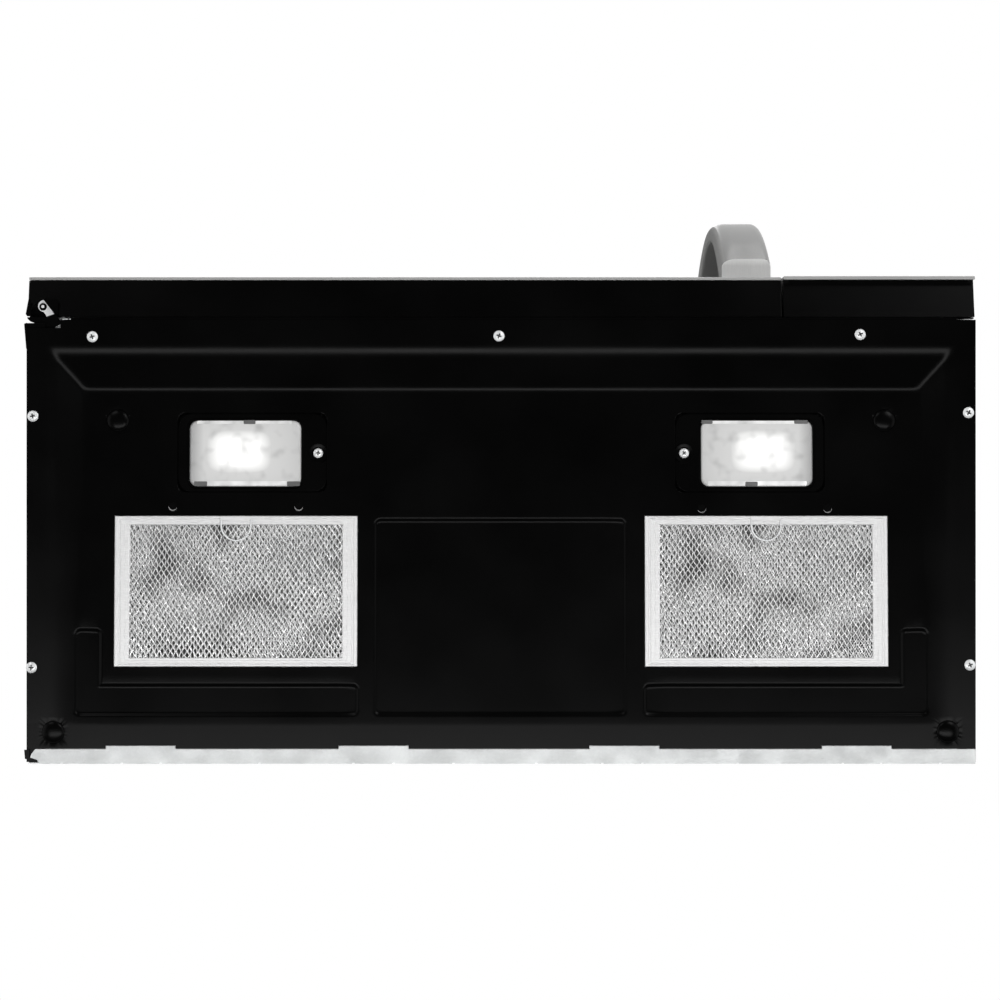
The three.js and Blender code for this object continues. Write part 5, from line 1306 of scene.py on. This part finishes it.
# %% Eased copies
SOFTENED = 32.0
MERGE_DISTANCE = 0.01 * MM
FLAT_ANGLE = math.radians(1.0)


def eased(node, width, body, finish, second=None, where=None):
    """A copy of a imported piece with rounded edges; faces that pass a test get a second finish."""
    source = frame["nodes"][node]
    piece = new_object(node + "_eased", source.data.copy())
    piece.matrix_world = source.matrix_world.copy()
    piece.data.materials.clear()
    piece.data.materials.append(finish)
    if second:
        piece.data.materials.append(second)
    work = bmesh.new()
    work.from_mesh(piece.data)
    bmesh.ops.remove_doubles(work, verts=work.verts, dist=MERGE_DISTANCE)
    bmesh.ops.dissolve_limit(work, angle_limit=FLAT_ANGLE, verts=work.verts, edges=work.edges)
    for face in work.faces:
        face.material_index = 1 if where and where(face.calc_center_median() / MM) else 0
    work.to_mesh(piece.data)
    work.free()
    if width:
        rounded_edges(piece, "ease", width, SOFTENED).harden_normals = True
    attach(piece, body)
    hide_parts(node)
    smooth(piece, SOFTENED)


print("edges softer than", SOFTENED, "degrees stay")

# %% Casing
FOLD = 6.0
LINER_PLATE = 26.0
PLATE_BOTTOM = -145.0
PLATE_TOP = 90.0
PLATE_LEFT = -337.0
panel_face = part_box("control_panel")[0].y / MM
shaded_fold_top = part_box("door_skin")[0].z / MM + FOLD
liner_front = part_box("oven_cavity")[0].y / MM


def in_shaded_plate(at):
    """Whether a place belongs to the outer part of the cavity's front plate, which is painted black
    as shade.
    """
    outside = at.z < PLATE_BOTTOM or at.z > PLATE_TOP or at.x < PLATE_LEFT
    return at.y < liner_front + LINER_PLATE and outside


eased("door_frame", 0.5, "door", black_finish)
# The fold at the bottom of the door skin takes the duller copy: painted shade.
eased("door_skin", 0.3, "door", front_finish, shaded_fold_finish, lambda at: at.z < shaded_fold_top)
eased("control_panel", 0.4, "root", black_finish, key_film, lambda at: at.y < panel_face + 1.0)
eased("vent_grille", 0.4, "root", front_finish)
eased("cabinet_cover", 0.4, "root", black_finish)
eased("rear_panel", 0.3, "root", zinc_finish)
eased("lamp_cover_left", 0.35, "lamp_left", black_finish)
eased("lamp_cover_right", 0.35, "lamp_right", black_finish)
# The outer part of the front plate is black: painted shade in the gap between door and base.
eased("oven_cavity", 0.0, "root", cavity_finish, black_finish, in_shaded_plate)
for node, width, body in (("exhaust_collar", 0.3, "root"), ("cord_bushing", 0.4, "root"),
                          ("blower_housing", 0.4, "root"), ("keypad", 0.3, "root"),
                          ("display_window", 0.4, "root"), ("latch_housing", 0.5, "root"),
                          ("latch_hook", 0.3, "latch"), ("choke_cover", 0.5, "door"),
                          ("turntable_motor", 0.6, "root"), ("transformer", 0.5, "root"),
                          ("magnetron", 0.4, "root"), ("waveguide", 0.4, "root")):
    eased(node, width, body, FINISH_OF_SLOT[slot_of_node[node]])

# %% [markdown]
# A bright frame goes round the front of the controls and continues the folded edge of the door. Its
# section is walked from the back of the outer side, over the rounded front, to the back of the
# inner side.

# %% Frame of the controls
PANEL_FRAME = 5.0
PANEL_FRAME_DEPTH = 2.4
PANEL_OVERHANG = 0.2
PANEL_SECTION = (
    (0.0, PANEL_FRAME_DEPTH), (0.0, 0.2), (0.5, -0.3),
    (PANEL_FRAME - 0.5, -0.3), (PANEL_FRAME, 0.2), (PANEL_FRAME, PANEL_FRAME_DEPTH))

panel_low, panel_high = (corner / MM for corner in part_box("control_panel"))
outline = shrunk((panel_low.x, panel_high.x, panel_low.z, panel_high.z), -PANEL_OVERHANG)
frame_rings = []
for inset, depth in PANEL_SECTION:
    left, right, bottom, top = shrunk(outline, inset)
    y = panel_low.y + depth
    frame_rings.append([(left, y, bottom), (right, y, bottom), (right, y, top), (left, y, top)])
panel_frame = dressed(loft("panel_frame", frame_rings, joined=True), "root", front_finish)
panel_frame.data.materials.append(shaded_fold_finish)
# The lower faces of the frame take the same painted shade as the fold of the door.
for face in panel_frame.data.polygons:
    face.material_index = 1 if face.center.z < shaded_fold_top * MM else 0
print("frame of the controls:", len(panel_frame.data.polygons), "faces")

# %% [markdown]
# ## Handle
# The handle is an arch of stainless bar with a flat cut end that shows from below. Its outer face
# is crowned, with a wide soft edge on the hinge side and a tighter one on the other. It is a loft
# of sections up the door: each section runs from the inner arch to the outer arch at its height.
# The cut ends get a much paler copy of the finish, a painted light. The flank on the hinge side
# gets a copy with its reflection taken out and a paler flat colour in its place, a painted shade.

# %% Arched handle
handle_low, handle_high = (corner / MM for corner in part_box("handle"))
HANDLE_REACH = door_front - handle_low.y
HANDLE_END = 18.0
HANDLE_INNER = 45.0
HANDLE_FOOT = 24.0
HANDLE_STATIONS = 72
HANDLE_GAP = 0.3
BACK_EDGE = 2.0
SOFT_EDGE = (12.0, 6.5)
TIGHT_EDGE = (7.0, 7.0)
LIT_CAP_FACING = 0.95
SHADED_FLANK_FACING = -0.5


def quarter(cx, cy, rx, ry, start, steps=7):
    """A quarter of an ellipse, counted from the start quadrant."""
    return [(cx + rx * math.cos(math.pi / 2 * (start + i / steps)),
             cy + ry * math.sin(math.pi / 2 * (start + i / steps))) for i in range(steps + 1)]


def handle_section(z):
    """Outline of the bar at height z, from its foot or inner arch to its crowned outer face."""
    middle = (handle_low.z + handle_high.z) / 2
    half = (handle_high.z - handle_low.z) / 2
    u = (z - middle) / half
    v = (z - middle) / (half - HANDLE_FOOT)
    outer = -(HANDLE_END + (HANDLE_REACH - HANDLE_END) * max(1.0 - u * u, 0.0))
    inner = -HANDLE_INNER * max(1.0 - v * v, 0.0)
    left, right = handle_low.x, handle_high.x
    ring = quarter(right - BACK_EDGE, inner - BACK_EDGE, BACK_EDGE, BACK_EDGE, 0)
    ring += quarter(left + BACK_EDGE, inner - BACK_EDGE, BACK_EDGE, BACK_EDGE, 1)
    ring += quarter(left + SOFT_EDGE[0], outer + SOFT_EDGE[1], *SOFT_EDGE, 2)
    ring += quarter(right - TIGHT_EDGE[0], outer + TIGHT_EDGE[1], *TIGHT_EDGE, 3)
    return [(x, door_front - HANDLE_GAP + y, z) for x, y in ring]


span = handle_high.z - handle_low.z
levels = [handle_low.z + span * (0.5 - 0.5 * math.cos(math.pi * i / HANDLE_STATIONS))
          for i in range(HANDLE_STATIONS + 1)]
handle = loft("door_handle", [handle_section(z) for z in levels])
rounded_edges(handle, "cap_rim", 0.5, 50.0)
dressed(handle, "door", handle_finish, "handle")
handle.data.materials.append(cap_painted_light_finish)
handle.data.materials.append(shaded_flank_finish)
for face in handle.data.polygons:
    # Cut ends take the painted light, the hinge-side flank the painted shade.
    is_lit_cap = abs(face.normal.z) > LIT_CAP_FACING and len(face.vertices) > 4
    is_shaded_flank = face.normal.x < SHADED_FLANK_FACING
    face.material_index = 1 if is_lit_cap else 2 if is_shaded_flank else 0
smooth(handle, 50.0)
print("handle stations:", len(levels))

# %% [markdown]
# ## Rear edge
# A pale zinc flange closes the rear edge of the bottom. It reaches into the four notches of the
# bottom cover with tabs, and its free edge carries small punched nicks. In front of each tab a
# black strip above the notch paints the shade of a narrow gap.
# At the hinge end a corner of the black cabinet shows beside it, with a small bent hook.

# %% Sizes of the rear edge
FLANGE_FRONT = -12.0
TAB_FRONT = -14.5
FLANGE_REAR = -0.3
FLANGE_LEFT = -376.4
FLANGE_RIGHT = 379.0
FLANGE_LOW = -0.5
FLANGE_HIGH = 0.5
TAB_GAP = 0.3
NICKS = (-351.0, -303.0, -272.0, -193.0, -118.0, -86.0, -38.0,
         28.0, 81.0, 113.0, 189.0, 273.0, 303.5, 351.0)
NICK_MOUTH = 1.3
NICK_BOTTOM = 0.8
NICK_DEPTH = 0.8
SHADE_HEIGHTS = (1.3, 1.7)
HOOK_HEIGHTS = (-0.75, 0.4)
CORNER_HOOK = ((-381.0, -11.5), (-376.9, -11.5), (-376.9, -5.4), (-370.6, -3.4),
               (-369.8, -1.0), (-372.2, -1.4), (-373.4, -2.9), (-380.4, -4.2))
print("flange from", FLANGE_LEFT, "to", FLANGE_RIGHT)

# %% Rear flange
def slab(name, plan, *heights):
    """A flat piece from its outline in plan, with its heights counted from the margin."""
    return loft(name, [[(x, y, margin + z) for x, y in plan] for z in heights])


def rear_flange():
    """The flange: its outline is walked round once, then thickened."""
    plan = [(FLANGE_LEFT, FLANGE_REAR - 4.6), (FLANGE_LEFT + 1.2, FLANGE_REAR - 8.0),
            (FLANGE_LEFT + 4.4, FLANGE_FRONT)]
    for centre in NOTCH_CENTRES:
        left = centre - NOTCH_HALF + TAB_GAP
        right = centre + NOTCH_HALF - TAB_GAP
        plan += [(left, FLANGE_FRONT), (left, TAB_FRONT), (right, TAB_FRONT), (right, FLANGE_FRONT)]
    plan += [(FLANGE_RIGHT, FLANGE_FRONT), (FLANGE_RIGHT, FLANGE_REAR)]
    nick_end = FLANGE_REAR - NICK_DEPTH
    for x in reversed(NICKS):
        plan += [(x + NICK_MOUTH, FLANGE_REAR), (x + NICK_BOTTOM, nick_end)]
        plan += [(x - NICK_BOTTOM, nick_end), (x - NICK_MOUTH, FLANGE_REAR)]
    plan += [(FLANGE_LEFT + 7.0, FLANGE_REAR), (FLANGE_LEFT + 5.5, FLANGE_REAR - 2.4)]
    return slab("rear_flange", plan, FLANGE_LOW, FLANGE_HIGH)


dressed(rear_flange(), "root", flange_finish)
# Black strips in the notches: painted shade of the gap in front of each tab.
for number, centre in enumerate(NOTCH_CENTRES):
    reach = NOTCH_HALF + 1.0
    shade_plan = (centre - reach, centre + reach, NOTCH_EDGE - 1.0, TAB_FRONT - 0.2)
    shade = loft(f"notch_shade_{number + 1}", [
        rounded_ring(shade_plan, 0.2, margin + z, 1) for z in SHADE_HEIGHTS])
    dressed(shade, "root", black_finish)
dressed(slab("corner_hook", CORNER_HOOK, *HOOK_HEIGHTS), "root", black_finish)
print("flange nicks:", len(NICKS))

# %% [markdown]
# Behind each sight hole sits a clip of dull aluminium. Its own hole is a little further forward, so
# only a crescent of it shows at the rear of the sight hole. A black disc above it paints the shade
# inside the hole.

# %% Clips behind the sight holes
CLIP_RADIUS = 7.0
CLIP_THICKNESS = 0.6
CLIP_LIFT = 1.0
CLIP_SHIFT_LEFT = 1.0
CLIP_SHIFT_RIGHT = 0.7
SHADE_DISC_RADIUS = 6.0
SHADE_DISC_THICKNESS = 0.4
SHADE_DISC_LIFT = 0.9
SHADE_DISC_PROFILE = [(0.0, 0.0), (SHADE_DISC_RADIUS, 0.0), (SHADE_DISC_RADIUS, SHADE_DISC_THICKNESS), (0.0, SHADE_DISC_THICKNESS)]

for number, (x, y) in enumerate(SIGHTS):
    hole_y = y - (CLIP_SHIFT_LEFT if x < 0 else CLIP_SHIFT_RIGHT)
    low = margin + sheet_height(x, y) + SHEET / MM + CLIP_LIFT
    high = low + CLIP_THICKNESS
    clip = loft(f"sight_clip_{number + 1}", [
        circle(SIGHT_RADIUS, low, centre=(x, hole_y)), circle(CLIP_RADIUS, low, centre=(x, y)),
        circle(CLIP_RADIUS, high, centre=(x, y)), circle(SIGHT_RADIUS, high, centre=(x, hole_y)),
    ], joined=True)
    dressed(clip, "root", clip_finish)
    # A black disc above the clip: painted shade in the hole.
    shade_disc = lathe(f"sight_shade_disc_{number + 1}", SHADE_DISC_PROFILE)
    shade_disc.matrix_world = moved(x, y, low + SHADE_DISC_LIFT)
    dressed(shade_disc, "root", black_finish)
print("clips:", len(SIGHTS))

# %% [markdown]
# ## Hinge corner
# The lower hinge shows through a notch in the corner of the door: a bright round head with a pin in
# it and a short bright arm. A black ring round the pin paints the shade of its hole. The rest of
# the arm is covered by a black tongue, partly a flange of the cover and partly painted shade, and a
# strip of the cabinet's black front stands out a little beside the base. Black pieces at the door's
# corner and the edge of its notch paint the deep shade there. Outlines are seen from below. Heights
# are counted from the margin, or from the underside of the arm for what lies close to it.

# %% Outlines at the hinge
HEAD_AT = (-366.8, -365.7)
PIN_OFF = 0.2
TONGUE = ((-363.3, -358.0), (-357.3, -359.9), (-354.5, -357.3), (-352.3, -353.9), (-352.5, -351.2),
          (-354.1, -350.9), (-356.2, -350.1), (-358.2, -348.0), (-381.2, -348.0), (-381.5, -352.2),
          (-380.2, -352.8), (-377.6, -351.8), (-373.8, -351.6), (-373.8, -352.8), (-376.7, -353.8),
          (-379.1, -356.1), (-379.3, -357.3), (-364.0, -357.3))
SLIVER = ((-381.2, -352.0), (-378.5, -352.0), (-378.5, -330.1), (-379.6, -332.2))
FOOT_EDGES = (((-350.6, -355.9), (-346.1, -355.9), (-346.1, -355.2), (-350.6, -355.2)),
              ((-345.1, -355.9), (-344.0, -355.9), (-344.0, -355.2), (-345.1, -355.2)))
DOOR_CORNER = ((-378.3, -371.1), (-380.4, -359.7), (-379.2, -358.0), (-376.4, -358.0),
               (-376.4, -371.1))
DOOR_NOTCH = ((-366.4, -371.4), (-357.3, -359.9), (-354.6, -359.9), (-354.6, -371.4))
TONGUE_HEIGHTS = (-0.8, -0.3)
SLIVER_HEIGHTS = (0.3, 0.8)
FOOT_HEIGHTS = (0.8, 1.2)
DOOR_HEIGHTS = (-2.0, -1.1)
PIN_SHADE_RING = [(3.0, 0.0), (3.0, -0.25), (1.4, -0.25), (1.4, 0.0)]
PIN_END = [(1.3, 0.0), (1.3, -0.2), (0.9, -0.45), (0.3, -0.5)]
print("hinge head at", HEAD_AT)

# %% Hinge corner
arm_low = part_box("hinge_lower")[0].z / MM
tongue_heights = [arm_low - margin + z for z in TONGUE_HEIGHTS]
door_heights = [arm_low - margin + z for z in DOOR_HEIGHTS]
# The black tongue is partly a flange of the cover and partly painted shade over the arm.
dressed(slab("hinge_tongue", TONGUE, *tongue_heights), "root", black_finish)
dressed(slab("front_sliver", SLIVER, *SLIVER_HEIGHTS), "root", black_finish)
for number, plan in enumerate(FOOT_EDGES):
    dressed(slab(f"foot_edge_{number + 1}", plan, *FOOT_HEIGHTS), "root", zinc_finish)
# Black pieces at the door's corner and the edge of its notch: painted shade there.
for name, plan in (("door_corner", DOOR_CORNER), ("door_notch_edge", DOOR_NOTCH)):
    dressed(slab(name, plan, *door_heights), "door", black_finish)
# A black ring round the pin: painted shade of its hole.
pin_shade_ring = lathe("hinge_pin_ring", PIN_SHADE_RING)
pin_shade_ring.matrix_world = moved(*HEAD_AT, arm_low)
dressed(pin_shade_ring, "root", black_finish)
pin_end = lathe("hinge_pin_end", PIN_END, 24)
pin_end.matrix_world = moved(HEAD_AT[0] - PIN_OFF, HEAD_AT[1] - PIN_OFF, arm_low)
dressed(pin_end, "root", zinc_finish)
print("underside of the hinge arm", round(arm_low, 1), "mm")

# %% [markdown]
# ## Controls and window
# The keypad is one membrane with printed digits: four rows of number keys below two rows of blank
# ones. Each key is a thin cushion, so the edges of the keys catch the light. Behind the smoked pane
# of the door lies the perforated screen. Its holes are a pattern in the material: two waves at
# right angles leave a dot wherever both are high. The dots are dark: painted shade seen through the
# holes.

# %% Keypad
KEY_COLUMNS = 3
KEY_ROWS = 6
KEY_GAP = 4.0
KEY_MARGIN = 6.0
# Inset, corner radius and height of each ring of a key.
KEY_RINGS = ((0.0, 4.0, -0.3), (0.0, 4.0, 0.25), (0.5, 3.6, 0.45))
DIGIT_SIZE = 13.0
DIGIT_THICKNESS = 0.05
DIGIT_LIFT = 0.52
DIGITS = ("", "", "", "", "", "", "1", "2", "3", "4", "5", "6", "7", "8", "9", "", "0", "")

pad_low, pad_high = (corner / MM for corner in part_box("keypad"))
key_width = (pad_high.x - pad_low.x - 2 * KEY_MARGIN - (KEY_COLUMNS - 1) * KEY_GAP) / KEY_COLUMNS
key_height = (pad_high.z - pad_low.z - 2 * KEY_MARGIN - (KEY_ROWS - 1) * KEY_GAP) / KEY_ROWS
upright = Matrix.Rotation(math.pi / 2, 4, "X")
for number, digit in enumerate(DIGITS):
    row, column = divmod(number, KEY_COLUMNS)
    key_x = pad_low.x + KEY_MARGIN + key_width / 2 + column * (key_width + KEY_GAP)
    key_z = pad_high.z - KEY_MARGIN - key_height / 2 - row * (key_height + KEY_GAP)
    plan = (-key_width / 2, key_width / 2, -key_height / 2, key_height / 2)
    key = loft(f"key_{number + 1}", [
        rounded_ring(shrunk(plan, inset), radius, z, 5) for inset, radius, z in KEY_RINGS])
    key.matrix_world = moved(key_x, pad_low.y, key_z) @ upright
    dressed(key, "root", key_film)
    if digit:
        text = bpy.data.curves.new("digit_" + digit, "FONT")
        text.body = digit
        text.size = DIGIT_SIZE * MM
        text.extrude = DIGIT_THICKNESS * MM
        text.align_x = "CENTER"
        text.align_y = "CENTER"
        text.materials.append(white_print)
        label = new_object("digit_" + digit, text)
        label.matrix_world = moved(key_x, pad_low.y - DIGIT_LIFT, key_z) @ upright
        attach(label, "root")
print("keys:", len(DIGITS), "of", round(key_width, 1), "by", round(key_height, 1), "mm")

# %% Perforated screen
SCREEN_PITCH = 2.4


def perforated_steel():
    """Grey steel with a square pattern of round holes, painted dark as the shade seen through them.
    """
    material, tree, shader, place = new_finish("perforated_steel")
    turns = math.tau / (SCREEN_PITCH * MM)
    axes = tree.nodes.new("ShaderNodeSeparateXYZ")
    tree.links.new(stretched(tree, place, (turns, 1.0, turns)), axes.inputs["Vector"])
    waves = [combined(tree, "COSINE", axes.outputs[axis]) for axis in ("X", "Z")]
    holes = combined(tree, "ADD", *waves)
    # Dark dots: painted shade seen through the holes.
    coated(tree, shader, tinted(tree, holes, grey(0.16), grey(0.004), 0.45, 0.75),
           spread(tree, holes, 0.35, 0.8))
    bumped(tree, shader, holes, -0.4 * MM, 0.6)
    return material


finish_node("door_screen", perforated_steel())
print("screen pitch", SCREEN_PITCH, "mm")

# %% [markdown]
# ## View transform
# The picture is drawn with the Standard view transform.

# %% View transform
scene.view_settings.view_transform = "Standard"
